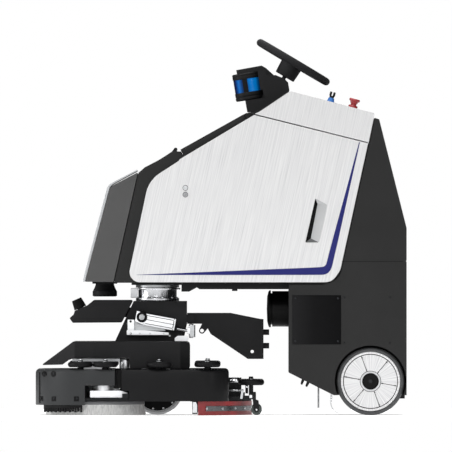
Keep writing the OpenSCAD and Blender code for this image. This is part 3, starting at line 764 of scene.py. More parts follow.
# dark plugs in the column's bolt holes, the lid's seal and latch, the seam across the shell's band
plugs = Bolts("column_plugs", "dark_bolt", *SHELL)
for s in (-1, 1):
    for x in (454.75, 622.75):
        for z in (267.5, 435.5):
            plugs.cap((x, s * 292, z), (0, s, 0), 3.1, 3)
plugs.done()
prism("lid_seal", [(-148.6, 972.6), (-142.9, 961.8), (-141.9, 962.4), (-147.5, 973.1)], -298, 298, "drive",
      *SHELL, 0)
prism("scanner_root", [(150, 1170), (168, 1174), (166, 1184), (150, 1182)], -30, 30, "shell", "base",
      "head_black", 0.5, 1)
prism("lid_rear_seal", [(82.0, 1108.4), (84.0, 1109.1), (92.0, 1092.4), (90.5, 1092.4)], -298, 298, "drive",
      *SHELL, 0)
prism("console_trim", [(97, 1112.6), (119, 1110.6), (124.5, 1112), (145, 1122.4), (248, 1191.6), (252, 1194.6),
                       (250, 1196.6),
                       (145, 1126), (122, 1115.4), (100, 1116)], -SIDE_Y, SIDE_Y, "shell", *SHELL, 0.4, 1)
prism("lid_latch", fillet([(-186, 968), (-176, 980), (-172, 987), (-164, 987), (-161, 982), (-164, 972)],
                          [1, 3, 3, 3, 2, 1], 3), -40, 40, "shell", *SHELL, 1.2)
for s in (-1, 1):
    prism("band_seam_%d" % s, [(-234.0, 938.6), (-216.5, 904.6), (-214.9, 905.4), (-232.4, 939.4)],
          *yspan(s, 281.8, 282.3), "drive", *SHELL, 0)
    prism("column_seam_%d" % s, [(445, 566.2), (669.6, 566.2), (669.6, 567.8), (445, 567.8)],
          *yspan(s, 299.9, 300.2), "access", *SHELL, 0)
# under the column: light rod, holed bracket and thin wire
tube("column_rod", [(361, 150, 24.2), (361, 150, 60), (361, 150, 101)], 3.15, "steel", *SHELL, 16)
prism("wire_bracket", fillet([(402.5, 77), (410.5, 77), (410.5, 60), (407, 47), (402.5, 47)], [0, 0, 2, 2, 2],
                             2), -226, -222, "alu", *SHELL, 0.6)
wb = Bolts("wire_bracket_rivets", "dark_bolt", *SHELL)
for z in (70, 61, 52):
    wb.cap((406, -226, z), LEFT, 1.9, 0.8)
wb.done()
tube("thin_wire", [(404.5, -224, 47), (406, -224, 36), (410.5, -224, 25), (418, -224, 15.5), (427, -224, 9.5),
                   (434, -224, 7)], 1.3, "steel", *SHELL, 8)

# ---------------------------------------------------------------- sensor head and controls

finish_node("sensor_head", "head", 2.2, 3)


def tilt(u, v, w=0.0):
    """A point on the tilted scanner, u back, w to the right, v up, in millimetres."""
    c, q = math.cos(TILT), math.sin(TILT)
    return (109.3 + u * c - v * q, w, 1164.5 + u * q + v * c)


UP = Vector(tilt(0, 1)) - Vector(tilt(0, 0))
base_prof = soft([(0, 0), (50, 0), (53.8, 3), (53.8, 12), (52.4, 13), (52.4, 15), (53.8, 16), (53.8, 29.5),
                  (51, 29.5), (40, 30)], 0.8, 2)
cap_prof = [(40, 79)] + soft([(51, 79), (53.8, 79.5), (53.8, 90), (53.0, 90.6), (53.0, 92), (53.8, 92.6),
                              (53.8, 98), (50, 101), (0, 101)], 0.8, 2)
o = lathe("scanner_base", base_prof, tilt(0, 0), UP, "scanner", *SCANNER, 80)
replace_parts(o, "lidar_housing")
lathe("scanner_cap", cap_prof, tilt(0, 0), UP, "scanner", *SCANNER, 80)
lathe("scanner_core", [(39.5, 29), (39.5, 80)], tilt(0, 0), UP, "black", *SCANNER, 64)
win = lathe("scanner_window", [(52.3, 29.8), (52.3, 78.7), (50, 78.7), (50, 29.8)], tilt(0, 0), UP, "window",
            "base", "scanner_blue", 96, ring=True)
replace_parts(win, "lidar_window")
# dark strut in front of the window
bm = bmesh.new()
rows = []
for v in (29.6, 78.9):
    row = []
    for k in range(7):
        a = math.radians(-22 + 20 * k / 6)
        row.append(bm.verts.new(Vector(tilt(53.0 * math.sin(a), v, -53.0 * math.cos(a))) * MM))
    rows.append(row)
skin(bm, rows, False)
obj_from("scanner_strut", bm, "black", *SCANNER)

# steering wheel
SH = Vector((math.sin(COLUMN), 0, math.cos(COLUMN)))
SC = Vector((267, 0, 1303.5))


def wheel_point(x, y, z):
    return SC + Vector((x * math.cos(COLUMN), y, -x * math.sin(COLUMN))) + SH * z


prof = [(141 + 14.1 * c, 14.1 * q) for c, q in circle(20)]
o = lathe("steering_rim", prof, SC, SH, "grip", *GRIP, 144, ring=True, sharp=math.radians(80))
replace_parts(o, "steering_wheel")
for k, a in enumerate((60, 180, 300)):
    ca, sa = math.cos(math.radians(a)), math.sin(math.radians(a))
    bm = bmesh.new()
    rows = []
    for r, w, h, z in ((24, 17, 7, -1), (45, 15, 6.5, -4), (70, 13, 5.5, -6), (100, 13, 5, -5),
                       (122, 15, 5.5, -2), (134, 18, 6.5, 0)):
        row = []
        for c, q in circle(16):
            # rounded square section
            y, zz = w * math.copysign(abs(c) ** 0.6, c), z + h * math.copysign(abs(q) ** 0.6, q)
            row.append(bm.verts.new(wheel_point(r * ca - y * sa, r * sa + y * ca, zz) * MM))
        rows.append(row)
    skin(bm, rows)
    close(bm, rows[0], rows[-1])
    obj_from("steering_spoke_%d" % (k + 1), bm, "grip", *GRIP, math.radians(60))
lathe("steering_boss", soft([(0, -63), (37.5, -63), (38.5, -60), (42, -2), (40, 4), (30, 8.4), (0, 9)], 2.0, 3),
      SC, SH, "head", *GRIP, 80)
lathe("steering_badge_blank", soft([(0, 11), (22, 10.6), (24, 8.2)], 1.0, 2), SC, SH, "black", *GRIP, 64)
lathe("steering_shaft", [(0, -105), (7.5, -105), (7.5, -62), (0, -62)], SC, SH, "dark_bolt", *GRIP, 32)

# stop button and key switch on the console
CN = Vector((math.sin(CONSOLE), 0, math.cos(CONSOLE)))


def console(along, y):
    """A point on the console's slope, that far back from its front edge."""
    return Vector((255, y, 1195)) + Vector((math.cos(CONSOLE), 0, -math.sin(CONSOLE))) * along


o = lathe("stop_button_head", soft([(0, 3), (10.8, 3), (10.8, 14.6), (12.8, 15.6), (15.8, 23), (19.4, 24.5),
                                    (20, 31), (18.6, 33.6), (0, 34)], 1.2, 3), console(238.5, -200), CN,
                                    "red_button", "estop_button", "button_red", 56)
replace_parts(o, "estop_button")
o = lathe("stop_button_collar", soft([(11.2, 0.2), (17.2, 0.2), (17.2, 7), (15, 9.2), (11.2, 9.2)], 0.8, 2),
          console(238.5, -200), CN, "red_button", "base", "switch_collar", 48)
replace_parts(o, "switch_bases")
lathe("key_switch_cone", soft([(6.2, 15.2), (10.2, 15.2), (12.4, 5), (15, 0.3), (6.2, 0.2)], 0.8, 2),
      console(154, -200), CN, "blue_cone", "base", "switch_collar", 48)
o = lathe("key_barrel", soft([(0, 3), (5.9, 3), (5.9, 15.6), (8.6, 16), (8.8, 22), (0, 23)], 0.8, 2),
          console(154, -200), CN, "black", "key_knob", "knob_black", 40)
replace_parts(o, "key_knob")
for k, dx in enumerate((-6.4, 6.4)):
    bm = prism_bm(fillet([(dx - 4.4, 21.5), (dx + 4.4, 21.5), (dx + 4.2, 37.6), (dx - 4.2, 37.6)], 2, 3), -4, 4)
    moved(bm, placed(console(154, -200), CONSOLE))
    bevel(obj_from("key_prong_%d" % (k + 1), bm, "black", "key_knob", "knob_black"), 0.8, 2)

# front scanner under the hood
fl = soft([(0, 436.6), (40, 436.6), (45.2, 439), (45.4, 456), (43, 459), (38, 470), (34, 481), (34, 484),
           (0, 484)], 1.5, 3)
o = lathe("front_scanner", fl, (-430, 0, 0), Z, "scanner", *SCANNER, 72)
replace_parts(o, "front_lidar")
block("front_scanner_plate", -476, -384, -46, 46, 484, 491.5, "scanner", *SCANNER, 1.5)

# vacuum canister on the column
can = soft([(0, 169), (46, 170.6), (64, 175.4), (68.4, 178), (68.4, 184.4), (58, 184.6), (58, 188.8),
            (65.4, 189), (66, 190), (66, 249.4)], 1.2, 3)
o = lathe("vacuum_canister", can, (0, 0, 391), (1, 0, 0), "canister", "base", "canister_black", 96)
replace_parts(o, "vacuum_housing")

# ---------------------------------------------------------------- rear wheels


def make_rear(word, s):
    body = word + "_rear_wheel"
    c, ax = REAR, (0, s, 0)
    t = soft([(110.2, 243), (116, 242), (121, 244), (124.6, 251), (125, 258), (125, 272), (124.6, 281),
              (122, 288), (118.5, 292.5), (114.5, 293.6), (112.2, 292.4), (110.2, 291)], 1.6, 3)
    o = lathe(word + "_rear_tyre_tread", t, c, ax, "tyre", body, "tyre_grey", 120, ring=True)
    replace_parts(o, word + "_rear_tyre")
    ring = soft([(101.2, 285), (101.2, 294.8), (102.4, 296.2), (107, 296.4), (109, 294.6), (109.6, 290),
                 (109.6, 247), (101.2, 247)], 0.8, 2)
    o = lathe(word + "_rear_rim_ring", ring, c, ax, "rim", body, "rim_silver", 120, ring=True)
    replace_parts(o, word + "_rear_rim")
    lathe(word + "_rear_rim_back", [(12.1, 290), (101.3, 290), (101.3, 248), (12.1, 248)], c, ax, "drive", body,
          "rim_silver", 72, ring=True)
    # six cover segments with narrow gaps between them
    bm = bmesh.new()
    r0, r1, gap = 39.0, 98.4, 1.1
    for k in range(6):
        turn = math.radians(60)
        d1, d0 = gap / r1, gap / r0
        loop = [(r1, d1 + (turn - 2 * d1) * j / 12) for j in range(13)]
        loop += [(r0, turn - d0 - (turn - 2 * d0) * j / 8) for j in range(9)]
        lo, hi = [], []
        for r, a in loop:
            a += math.radians(COVER_START + 60 * k)
            x, z = r * math.cos(a), r * math.sin(a)
            crown = 296.2 - (r - r0) / 59.4 * 1.6
            lo.append(bm.verts.new(Vector((c[0] + x, s * 290.2, c[2] + z)) * MM))
            hi.append(bm.verts.new(Vector((c[0] + x, s * crown, c[2] + z)) * MM))
        skin(bm, [lo, hi])
        close(bm, lo, hi)
    bevel(obj_from(word + "_rear_cover_segments", bm, "rim", body, "rim_silver"), 0.9, 2)
    lathe(word + "_rear_hub_ring", soft([(30.6, 290), (30.6, 297.4), (33, 298.2), (36.4, 297.6), (37.4, 296),
                                         (37.4, 290)], 0.7, 2), c, ax, "hubring", body, "rim_silver", 72)
    lathe(word + "_rear_hub_cap", soft([(0, 296.2), (9, 296.2), (10, 294.6), (26, 294.6), (29.6, 293),
                                        (29.6, 289)], 0.8, 2), c, ax, "drive", body, "rim_silver", 64)
    b = Bolts(word + "_rear_hub_bolts", "dark_bolt", body, "rim_silver")
    b.hexa((c[0], s * 295, c[2]), ax, 7.5, 3.4)
    for k in range(6):
        for r in (92, 44):
            b.pan(around(c, r, COVER_START + 60 * k, s * 295.6), ax, 2.6, 1.0)
    b.done()


both(make_rear)

# ---------------------------------------------------------------- steering module

nk = soft([(0, 470), (72, 470), (72, 469), (71, 468), (71, 433), (73, 432), (80, 431), (80, 420.6), (0, 420.4)],
          0.8, 2)
o = lathe("neck_turned", nk, NECK, Z, "chrome", *STEER, 96)
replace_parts(o, "slew_neck")
lathe("neck_spigot", [(55, 469), (55, 487), (0, 487)], NECK, Z, "steel", *STEER, 64)
b = Bolts("neck_bolts", "zinc", *STEER)
for k in range(12):
    a = math.radians(15 + 30 * k)
    b.cap((-235 + 75.5 * math.cos(a), 75.5 * math.sin(a), 431), Z, 3.2, 4)
b.done()

finish_node("yoke", "arm", 1.4)
finish_node("rear_arm", "arm", 0)
finish_node("drive_tyre", "tread", 1.6)
finish_node("drive_rim", "drive", 0.8)
POD = [(-470, 424), (-330, 424), (-327, 419), (-367, 341), (-548, 339.8), (-560, 357), (-544.5, 371),
       (-541, 383.6), (-494, 404.6)]
o = prism("front_pod_shell", fillet(POD, [10, 3, 2, 5, 5, 4, 3, 1, 3], 4), -110, 110, "head", "steer_module",
          "head_black", 4, 3)
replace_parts(o, "front_pod")
prism("front_pod_pad", [(-345, 396), (-334.6, 396), (-351.2, 360), (-362, 360)], -60, 60, "arm", "steer_module",
      "head_black", 0.8)

PN = Vector((-math.sin(math.radians(24)), 0, math.cos(math.radians(24))))
PC = Vector((-520.2, 0, 393.5))
ribs = soft([(0, 0.4), (22.9, 0.4), (23.4, 2), (18.9, 34.6), (17.6, 36.2), (0, 36.2)], 1.0, 2)
ribs = ribs[:5] + [(23.2 - 4.3 * j / 8, 3.5 + 31 * j / 8) for j in range(9)] + ribs[-5:]
o = lathe("pod_cap_ribbed", ribs, PC, PN, "black", "pod_cap", "cap_black", 120,
          wob=lambda k, i, t: -1.3 if (5 < k < 13 and i % 5 in (0, 1)) else 0.0, sharp=math.radians(24))
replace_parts(o, "pod_cap")
lathe("pod_cap_stem", [(12, -15), (12, 1)], PC, PN, "black", "pod_cap", "cap_black", 48)

# lift actuator
AM = placed((-292.5, -120, 361), math.radians(10.4))
ACT_AXIS = AM.to_3x3() @ Vector((1, 0, 0))


def act_point(u, w=0, v=0):
    """A point along the tilted actuator, in millimetres."""
    return (AM @ (Vector((u, w, v)) * MM)) / MM


def act(bm):
    """Turns a mesh from the actuator's own axes."""
    return moved(bm, AM)


o = obj_from("actuator_case", act(prism_bm(fillet([(8, -28), (126, -28), (126, 16), (8, 16)], 3, 3), -22, 22)),
             "alu", *ACTUATOR)
bevel(o, 1.5, 3)
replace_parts(o, "actuator_body")
for k, (z0, z1) in enumerate(((8, 10.5), (-7, -4.8), (-22, -19.6))):
    bevel(obj_from("actuator_groove_%d" % (k + 1), act(prism_bm([(12, z0), (122, z0), (122, z1), (12, z1)],
                                                                -22.5, 22.5)), "dark_bolt", *ACTUATOR), 0.4, 1)
lathe("actuator_motor_ring", soft([(0, 20), (9.5, 20), (10.5, 27.5), (19.4, 27.5), (20.4, 20), (21.9, 18),
                                   (21.9, -22), (0, -22)], 0.8, 2), AM.translation / MM, LEFT, "drive",
                                   *ACTUATOR, 56)
bevel(obj_from("actuator_motor_plate", act(prism_bm(fillet([(-22, -20), (10, -27), (10, 16), (-22, 20)], 3, 3),
                                                    -25, -22.2)), "alu", *ACTUATOR), 0.8, 2)
lathe("actuator_motor_cap", soft([(0, 28.6), (8.2, 28.4), (9.2, 27), (9.2, 19)], 0.8, 2), AM.translation / MM,
      LEFT, "plate", *ACTUATOR, 48)
lathe("actuator_nose", soft([(5.3, 0), (9, 0), (9.5, 6), (7.5, 9), (5.3, 9)], 0.6, 2), act_point(126, 0, -19),
      ACT_AXIS, "dark_bolt", *ACTUATOR, 40)
prism("actuator_foot", fillet([(-348, 294.5), (-348, 313), (-283, 313), (-193, 304), (-193, 294.5)], 2, 2),
      -140, -97.6, "alu", *ACTUATOR, 1.2)
block("actuator_foot_post", -345, -320, -140, -97.6, 312.8, 352, "alu", *ACTUATOR, 1.5)
prism("actuator_back_plate", fillet([(-321, 312), (-321, 350), (-306, 338), (-216, 320), (-200, 310)], 2, 2),
      -112, -108, "steel", *ACTUATOR, 0.8)
for k, (x, z) in enumerate(((-318, 351), (-334, 300), (-334, 345))):
    lathe("actuator_hole_%d" % k, soft([(0, 0.6), (3.4, 0.5), (4.2, 0)], 0.3, 1), (x, -140 if k else -112, z),
          LEFT, "drive", *ACTUATOR, 24)
bevel(obj_from("actuator_end_band", act(prism_bm([(118, -28.6), (121, -28.6), (121, 16.6), (118, 16.6)], -22.7,
                                                 22.7)), "dark_bolt", *ACTUATOR), 0.3, 1)
b = Bolts("actuator_bolts", "zinc", *ACTUATOR)
for x in (-336, -300, -262, -212):
    b.cap((x, -140, 300.5), LEFT, 3.6, 2.4)
for x, z in ((14, 10), (120, 10), (14, -22), (120, -22)):
    b.cap(act_point(x, -22, z), LEFT, 2.6, 1.6)
b.done()
o = lathe("actuator_rod_bar", [(0, 0), (5, 0), (5, 90), (0, 90)], act_point(104, 0, -19), ACT_AXIS, "chrome",
          *ROD, 40)
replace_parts(o, "actuator_rod")
block("actuator_rod_block", -125, -95, -129, -111, 299, 323, "alu", *ROD, 1.8, 3)
lathe("actuator_rod_post", soft([(0, 336), (6, 336), (9, 333), (9, 287), (7, 284), (0, 284)], 1.0, 2),
      (-110, -120, 0), Z, "chrome", *ROD, 40)
b = Bolts("yoke_bolts", "zinc", "steer_module", "arm_black")
for s in (-1, 1):
    for x, z in ((-318, 351), (-190, 292)):
        b.cap((x, s * 97, z), (0, s, 0), 3.6, 2.4)
    b.hexa((-235, s * 128, 95), (0, s, 0), 9, 5)
    b.cap((-142, s * 66, 356), (0, s, 0), 4, 2.6)
b.done()

block("actuator_end_plate", -114, -96, -134, -130, 288, 331, "steel", *ROD, 1.2)
block("actuator_end_band", -99, -95, -135, -129.5, 287, 332, "dark_bolt", *ROD, 0.6)
prism("yoke_rear_lug", fillet([(-171, 272), (-171, 284), (-160, 292), (-126, 292), (-121, 285), (-121, 272)], 2,
                              3), -111.5, -109.2, "alu", *STEER, 0.8)
block("neck_side_block", -334, -309, -40, 0, 432, 468, "alu", *STEER, 1.6)
lathe("neck_top_flange", soft([(71.2, 462), (84, 462.5), (84.5, 468.6), (71.2, 469)], 0.8, 2), NECK, Z,
      "chrome", *STEER, 96, ring=True)

# drive wheel bolt circle
b = Bolts("drive_wheel_bolts", "zinc", "drive_wheel", "drive_hub")
for s in (-1, 1):
    for k in range(12):
        b.cap(around(DRIVE, 74.5, -13 - 30 * k, s * 29), (0, s, 0), 3.5, 2.6)
b.done()
bm = bmesh.new()
for s in (-1, 1):
    lathe_bm([(80.4, 29.0), (80.4, 30.1), (81.6, 30.1), (81.6, 29.0)], DRIVE, (0, s, 0), 96, True, bm)
    lathe_bm([(86.5, 29.9), (87, 30.6), (92.4, 30.6), (93, 29.9)], DRIVE, (0, s, 0), 96, True, bm)
obj_from("drive_wheel_rings", bm, "plate", "drive_wheel", "drive_tread")

# ---------------------------------------------------------------- scrub deck


NOSE_X, NOSE_Y, NOSE_R = -468, 184, 216  # the skirt's rounded corners


def plan(off=0.0, x_end=-391.0, n=18):
    """Outline of the brush skirt from the right rear corner, round the nose, to the left."""
    r = NOSE_R - off
    half = [(x_end, 400 - off)]
    for j in range(n + 1):
        a = math.radians(90 + 90 * j / n)
        half.append((NOSE_X + r * math.cos(a), NOSE_Y + r * math.sin(a)))
    return half + [(x, -y) for x, y in half[::-1]]


def cover_sheet(outline, rings, s=1):
    """An open sheet cover lofted from (inset, height) rings: outside, rounded edge, top, inside."""
    bm = bmesh.new()
    rows = [[bm.verts.new((x * MM, s * y * MM, z * MM)) for x, y in outline(off)] for off, z in rings]
    skin(bm, rows + rows[:1], False)
    close(bm, [r[0] for r in rows], [r[-1] for r in rows])
    return bm


SKIRT_RINGS = [(0.8, 38), (0, 41), (0, 120), (0, 156), (1.0, 161.5), (3.6, 166), (7.6, 168.8), (12, 169.8),
               (40, 170), (40, 165.2), (12, 165), (6, 158), (6, 38)]
o = obj_from("skirt_shell", cover_sheet(plan, SKIRT_RINGS), "shroud", *SKIRT)
tool = obj_from("win_tool", prism_bm([(-501, 30), (-501, 110), (-380, 110), (-380, 30)], -420, 420), "shroud",
                *TOOL)
cut(o, tool)
shade(o)
bevel(o, 1.4, 2)
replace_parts(o, "front_shroud")
o = prism("skirt_top", plan(38), 165.3, 169.7, "shroud", *SKIRT, 0, plane="xy")
cut(o, *[obj_from("m%d" % s, lathe_bm([(0, 150), (62, 150), (62, 175), (0, 175)], (BRUSH_X, s * BRUSH_Y, 0), Z,
                                      48), "shroud", *TOOL) for s in (-1, 1)],
    obj_from("mid", prism_bm([(-445, 150), (-380, 150), (-380, 175), (-445, 175)], -158, 158), "shroud", *TOOL))


def fairing_plan(off):
    """Outline of a side cover from its front end along the side and round its tail."""
    pts = [(-366, 404 - off), (-300, 404 - off), (-180, 404 - off), (-60, 404 - off)]
    r = 89 - off
    for j in range(1, 19):
        a = math.radians(90 - 90 * j / 18)
        pts.append((-60 + r * math.cos(a), 315 + r * math.sin(a)))
    return pts


FAIRING_RINGS = [(1.0, 52.5), (0, 55), (0, 100), (0, 154), (1.4, 160.5), (4.6, 165.6), (9.6, 168.8),
                 (15, 169.6), (54, 169.7), (54, 163.6), (15, 163.4), (6, 156), (6, 52.5)]


def make_fairing(word, s):
    o = obj_from(word + "_fairing_shell", cover_sheet(fairing_plan, FAIRING_RINGS, s), "fairing", "deck",
                 "fairing_black")
    cut(o, obj_from("notch", prism_bm([(-380, 40), (-338, 40), (-338, 90), (-380, 90)], *yspan(s, 330, 420)),
                    "fairing", *TOOL))
    shade(o)
    return bevel(o, 1.0, 2)


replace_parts(make_fairing("left", -1), "side_fairings")
make_fairing("right", 1)
finish_node("deck_frame", "frame", 0.8)
finish_node("brush_motors", "cast", 1.6)
finish_node("deck_cover", "cover", 4.5, 3)
for word, s in SIDES:
    # bright sleeve on the deck's front post, the rail behind the rollers, the dark inner end plate
    c = (-352, s * 260, 0)
    lathe(word + "_post_sleeve", soft([(21.1, 172), (22.6, 173), (22.6, 205), (20, 207), (0, 207)], 0.8, 2), c,
          Z, "zinc", *DECK, 48)
    block(word + "_roller_rail", -548, -372, *yspan(s, 276, 284), 197.5, 209.5, "steel", *DECK, 1.4)
    prism(word + "_end_plate", fillet([(-396, 100), (-396, 168.4), (-358, 168.4), (-358, 100)], [4, 4, 0, 0],
                                      3),
          *yspan(s, 372, 380), "drive", *SKIRT, 1.0)
    tube(word + "_bumper_bar", [(-383, s * 385, 168), (-386, s * 388, 156), (-389, s * 389, 140),
                                (-387, s * 389, 122), (-384, s * 386, 108)], 3.4, "drive", *SKIRT, 12)
    # comb under the skirt, one tooth at a time
    bm = bmesh.new()
    for k in range(17):
        ang = math.radians(151 - 3.0 * k)
        ca, sa = math.cos(ang), math.sin(ang)
        cx, cy = NOSE_X + 207 * ca, NOSE_Y + 207 * sa
        low = 11.5 + 2.5 * (k % 2)
        vs = []
        for z in (low, 39.5):
            for du, dv in ((-3.2, -4.1), (3.2, -4.1), (3.2, 4.1), (-3.2, 4.1)):
                x, y = cx + du * ca - dv * sa, cy + du * sa + dv * ca
                vs.append(bm.verts.new((x * MM, s * y * MM, z * MM)))
        for q in ((0, 1, 2, 3), (4, 5, 6, 7), (0, 1, 5, 4), (1, 2, 6, 5), (2, 3, 7, 6), (3, 0, 4, 7)):
            bm.faces.new([vs[i] for i in q])
    bevel(obj_from(word + "_skirt_comb", bm, "drive", *SKIRT, smooth=False), 0.9, 2)
    arc = []
    for r, step in ((210.5, 1), (203.5, -1)):
        for a in [math.radians(deg) for deg in range(152, 101, -2)][::step]:
            arc.append((NOSE_X + r * math.cos(a), s * (NOSE_Y + r * math.sin(a))))
    prism(word + "_comb_band", arc, 28, 39.4, "drive", *SKIRT, 0.8, plane="xy")


def make_brush(word, s):
    body = word + "_brush"
    c = (BRUSH_X, s * BRUSH_Y, 0)
    jit = {}

    def wob(k, i, t):
        # each tuft's ragged edge; its two lowest points move together
        jit[(k, i)] = random.uniform(-1.7, 0.0) + (-1.6 if i % 3 == 0 else 0.0)
        return jit[(0, i)] if k < 2 else jit[(k, i)]

    o = lathe(word + "_brush_bristles", [(184.8, 0.3), (182.4, 20), (179.5, 39.2), (70, 39.2), (70, 4),
                                         (110, 0.4)], c, Z, "bristle", body, "bristle_grey", 540, ring=True,
              wob=wob, sharp=math.radians(70))
    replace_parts(o, word + "_brush")
    lathe(word + "_brush_block", soft([(0, 62.6), (29.6, 62.6), (30, 54), (176, 53.8), (180.6, 51), (181, 41),
                                       (179.6, 39.3), (0, 39.3)], 1.0, 2), c, Z, "block", body, "bristle_grey",
                                       120)


both(make_brush)


def make_roller(name, x, y, r, z):
    """A guide roller that spins with its own body."""
    body, c = name, (x, y, z)
    tread = [(r - 10.4 + 10.3 * math.cos(math.radians(a)),
              10.5 + 10.2 * math.sin(math.radians(a))) for a in range(-90, 91, 12)]
    tread = [(r - 12, 0.8)] + tread + [(r - 12, 20.2), (r - 14, 18), (r - 14, 3)]
    o = lathe(name + "_tread", tread, c, Z, "roller", body, "roller_black", 80, ring=True)
    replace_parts(o, name)
    lathe(name + "_hub", soft([(8.2, 2), (r - 14, 3), (r - 14, 18), (22, 18.6), (18, 20.8), (8.2, 20.8)], 0.8,
                              2), c, Z, "drive", body, "roller_black", 64, ring=True)


def roller_bolt(bolts, x, y, z, h):
    """Washer and hexagon head on top of a roller."""
    lathe_bm(soft([(0, z), (10, z), (10, z - 1.6), (8, z - 1.8)], 0.6, 2), (x, y, 0), Z, 32, bm=bolts.bm)
    bolts.hexa((x, y, z), Z, 7.0, h)


ROLLERS = ((-518, 352, 46.3), (-426, 368.7, 46.3), (-228, 366.5, 48.5), (-50, 366.5, 48.5))  # x, y, radius
for word, s in SIDES:
    b = Bolts(word + "_roller_bolts", "zinc", *DECK)
    for i, (x, y, r) in enumerate(ROLLERS):
        make_roller("%s_roller_%d" % (word, i + 1), x, s * y, r, 177)
        roller_bolt(b, x, s * y, 200, 6.5)
    b.done()
    n = word + "_squeegee_roller"
    make_roller(n, 111, s * 235, 48.5, 110)
    b = Bolts(word + "_squeegee_roller_bolt", "zinc", *SQUEEGEE)
    roller_bolt(b, 111, s * 235, 133, 6)
    b.done()
    n = word + "_squeegee_caster"
    o = lathe(n + "_tread", soft([(12, -8.6), (17, -8.8), (19.9, -6), (19.9, 6), (17, 8.8), (12, 8.6), (4.1, 7),
                                  (4.1, -7)], 1.2, 3), (131, s * 235, 20), (0, 1, 0), "caster", n,
                                  "caster_grey", 64, ring=True)
    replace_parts(o, n)

# ovals, panel line and square bolt seats on the skirt's corners; the seats' black is painted shade of the
# recesses


def on_skirt(x, s, out=0.0):
    """A point of the skirt's corner and its outward direction, at a given X."""
    c = (x - NOSE_X) / NOSE_R
    q = math.sqrt(1 - c * c)
    r = NOSE_R + out
    return Vector((NOSE_X + r * c, s * (NOSE_Y + r * q), 0)), Vector((c, s * q, 0))


for word, s in SIDES:
    seats, heads = bmesh.new(), Bolts(word + "_skirt_bolts", "dark_bolt", *SKIRT)
    spots = [(-664, 61, 17.0, 9.0, 4), (-616, 61, 10.5, 9.0, 4), (-532, 61, 9.5, 9.0, 4),
             (-651, 153, 16.0, 11.5, 28), (-617, 153, 12.5, 11.5, 28)]
    for x, z, w, h, n in spots:
        p, d = on_skirt(x, s, 0.5)
        side = Vector((-d.y, d.x, 0))
        rows = []
        for k, depth in ((1.0, -1.2), (1.0, 0.5), (0.8, 0.7), (0.74, 0.1)):
            row = []
            for u, v in circle(n, math.pi / 4 if n == 4 else 0):
                # four sides make a square seat, more an oval
                grow = k * (1.41 if n == 4 else 1.0)
                q = p + side * (w * grow * u) + d * depth
                row.append(seats.verts.new(Vector((q.x, q.y, z + h * grow * v)) * MM))
            rows.append(row)
        skin(seats, rows)
        seats.faces.new(rows[-1])
        heads.cap((p.x + 2 * side.x, p.y + 2 * side.y, z + 1.5), d, 3.6, 1.8)
    # black seats: painted shade in the skirt's recesses
    obj_from(word + "_skirt_seats", seats, "drive", *SKIRT)
    heads.done()
    p, d = on_skirt(-668, s, 0.25)
    tube(word + "_skirt_seam", [(p.x, p.y, z) for z in (44, 70, 100, 130, 158)], 2.6, "drive", *SKIRT, 8)

# ---------------------------------------------------------------- squeegee

finish_node("squeegee_frame", "frame", 1.0)
finish_node("squeegee_blades", "blade", 0.8)
finish_node("squeegee_strap", "strap", 0.0)
b = Bolts("squeegee_strap_bolts", "zinc", "squeegee", "strap_steel")
for k in range(-5, 6):
    a = math.radians(k * 10)
    b.cap((-358 + 474.2 * math.cos(a), 474.2 * math.sin(a), 25), (math.cos(a), math.sin(a), 0), 4.6, 2.6)
b.done()

for word, s in SIDES:
    # bright end bracket, link block and pins of the fork, dark struts up to the roller
    prism(word + "_blade_end", fillet([(-104, 10), (-104, 50), (-92, 50), (-88, 38), (-88, 10)], 2, 3),
          *yspan(s, 391.5, 395), "zinc", *SQUEEGEE, 0.8)
    y = yspan(s, 249.3, 253)
    block(word + "_link_block", 104, 115, *yspan(s, 249.3, 256), 63, 75, "zinc", *SQUEEGEE, 1.2)
    block(word + "_fork_strut", 90, 100, *y, 80, 112, "drive", *SQUEEGEE, 1.2)
    prism(word + "_grey_strut", fillet([(70, 60), (79, 60), (84, 92), (75, 92)], 2, 3), *y, "steel", *SQUEEGEE,
          1.0)
    b = Bolts(word + "_fork_pins", "zinc", *SQUEEGEE)
    b.cap((131, s * 249.3, 20), (0, s, 0), 3.4, 1.6)
    b.cap((95, s * 253, 104), (0, s, 0), 3.4, 2.0)
    b.done()
lathe("suction_elbow_ring", soft([(24.6, 84), (27.4, 85), (27.4, 92), (24.6, 93)], 0.8, 2), (51, 0, 0), Z,
      "zinc", *SQUEEGEE, 56)
lathe("suction_elbow_dome", soft([(24.7, 118), (26.6, 119), (26.6, 126), (25, 132), (20, 137.4), (0, 139)], 1.5,
                                 3), (51, 0, 0), Z, "chrome", *SQUEEGEE, 56)

# ---------------------------------------------------------------- set

floor = bpy.data.meshes.new("studio_floor")
floor.from_pydata([(-3, -2.2, 0), (3, -2.2, 0), (3, 2.2, 0), (-3, 2.2, 0)], [], [(0, 1, 2, 3)])
fl_o = bpy.data.objects.new("studio_floor", floor)
fl_o.location.z = -0.0005
bpy.context.scene.collection.objects.link(fl_o)
fm = Mat("pale_floor", (252, 252, 252), 0.9)
fmn = fm.noise(1.5, 2.0)
fm.tint(fmn.outputs["Fac"], (250, 250, 250), (254, 254, 254))
fm.b.inputs["Emission Color"].default_value = (1, 1, 1, 1)
fm.b.inputs["Emission Strength"].default_value = 0.55
floor.materials.append(fm.m)

world = bpy.data.worlds.new("studio")
bpy.context.scene.world = world
world.use_nodes = True
wt = world.node_tree
wt.nodes.clear()
w_out = wt.nodes.new("ShaderNodeOutputWorld")
w_lp = wt.nodes.new("ShaderNodeLightPath")


def backdrop(strength):
    n = wt.nodes.new("ShaderNodeBackground")
    n.inputs["Color"].default_value = (1, 1, 1, 1)
    n.inputs["Strength"].default_value = strength
    return n


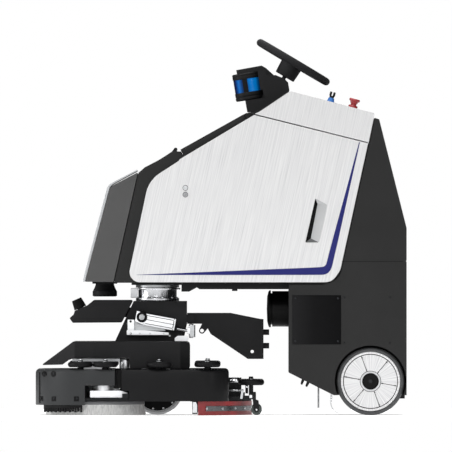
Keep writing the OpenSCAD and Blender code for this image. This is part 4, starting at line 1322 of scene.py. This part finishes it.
def choose(ray, a, b):
    """Shader b for that kind of ray, a for the rest."""
    n = wt.nodes.new("ShaderNodeMixShader")
    wt.links.new(w_lp.outputs[ray], n.inputs[0])
    wt.links.new(a.outputs[0], n.inputs[1])
    wt.links.new(b.outputs[0], n.inputs[2])
    return n


# white to the eye, dimmer as a light, and bright to the left front for the metals' reflections
w_tc = wt.nodes.new("ShaderNodeTexCoord")
w_dot = wt.nodes.new("ShaderNodeVectorMath")
w_dot.operation = "DOT_PRODUCT"
w_dot.inputs[1].default_value = (-0.45, -0.85, 0.28)
wt.links.new(w_tc.outputs["Generated"], w_dot.inputs[0])
w_map = wt.nodes.new("ShaderNodeMapRange")
for k, v in (("From Min", -0.05), ("From Max", 0.75), ("To Min", 0.06), ("To Max", 1.05)):
    w_map.inputs[k].default_value = v
wt.links.new(w_dot.outputs["Value"], w_map.inputs["Value"])
w_shine = backdrop(1.0)
wt.links.new(w_map.outputs["Result"], w_shine.inputs["Strength"])
w_all = choose("Is Camera Ray", choose("Is Glossy Ray", backdrop(0.30), w_shine), backdrop(1.0))
wt.links.new(w_all.outputs[0], w_out.inputs["Surface"])


def area(name, at, to, size, power, size_y=None):
    d = bpy.data.lights.new(name, "AREA")
    d.shape = "RECTANGLE"
    d.size = size
    d.size_y = size_y or size
    d.energy = power
    o = bpy.data.objects.new(name, d)
    o.location = at
    o.rotation_euler = (Vector(to) - Vector(at)).to_track_quat("-Z", "Y").to_euler()
    bpy.context.scene.collection.objects.link(o)
    return o


area("top_soft", (0.0, 0.0, 4.6), (0, 0, 0), 5.0, 200)
area("key_left", (-1.4, -5.4, 2.6), (0, 0, 0.7), 2.2, 58)
area("side_left", (-5.2, -1.2, 1.6), (0, 0, 0.5), 2.0, 105)
area("strip_right", (3.0, -4.6, 2.0), (0, 0, 0.6), 0.9, 26, 2.6)
area("back_soft", (0.5, 5.0, 3.0), (0, 0, 0.7), 3.0, 60)

VIEW_WIDTH = 1.6724  # metres across the picture at the machine
cam_d = bpy.data.cameras.new("view")
cam_d.sensor_width = 36.0
cam_d.lens = 1600.0  # very long, for a side view almost without perspective
cam_d.clip_end = 400.0
cam = bpy.data.objects.new("view", cam_d)
dist = VIEW_WIDTH * cam_d.lens / cam_d.sensor_width
cam.location = (0.0183, -dist, 0.6975)
cam.rotation_euler = (math.radians(90), 0, 0)
bpy.context.scene.collection.objects.link(cam)
bpy.context.scene.camera = cam
bpy.context.scene.view_settings.view_transform = "Standard"
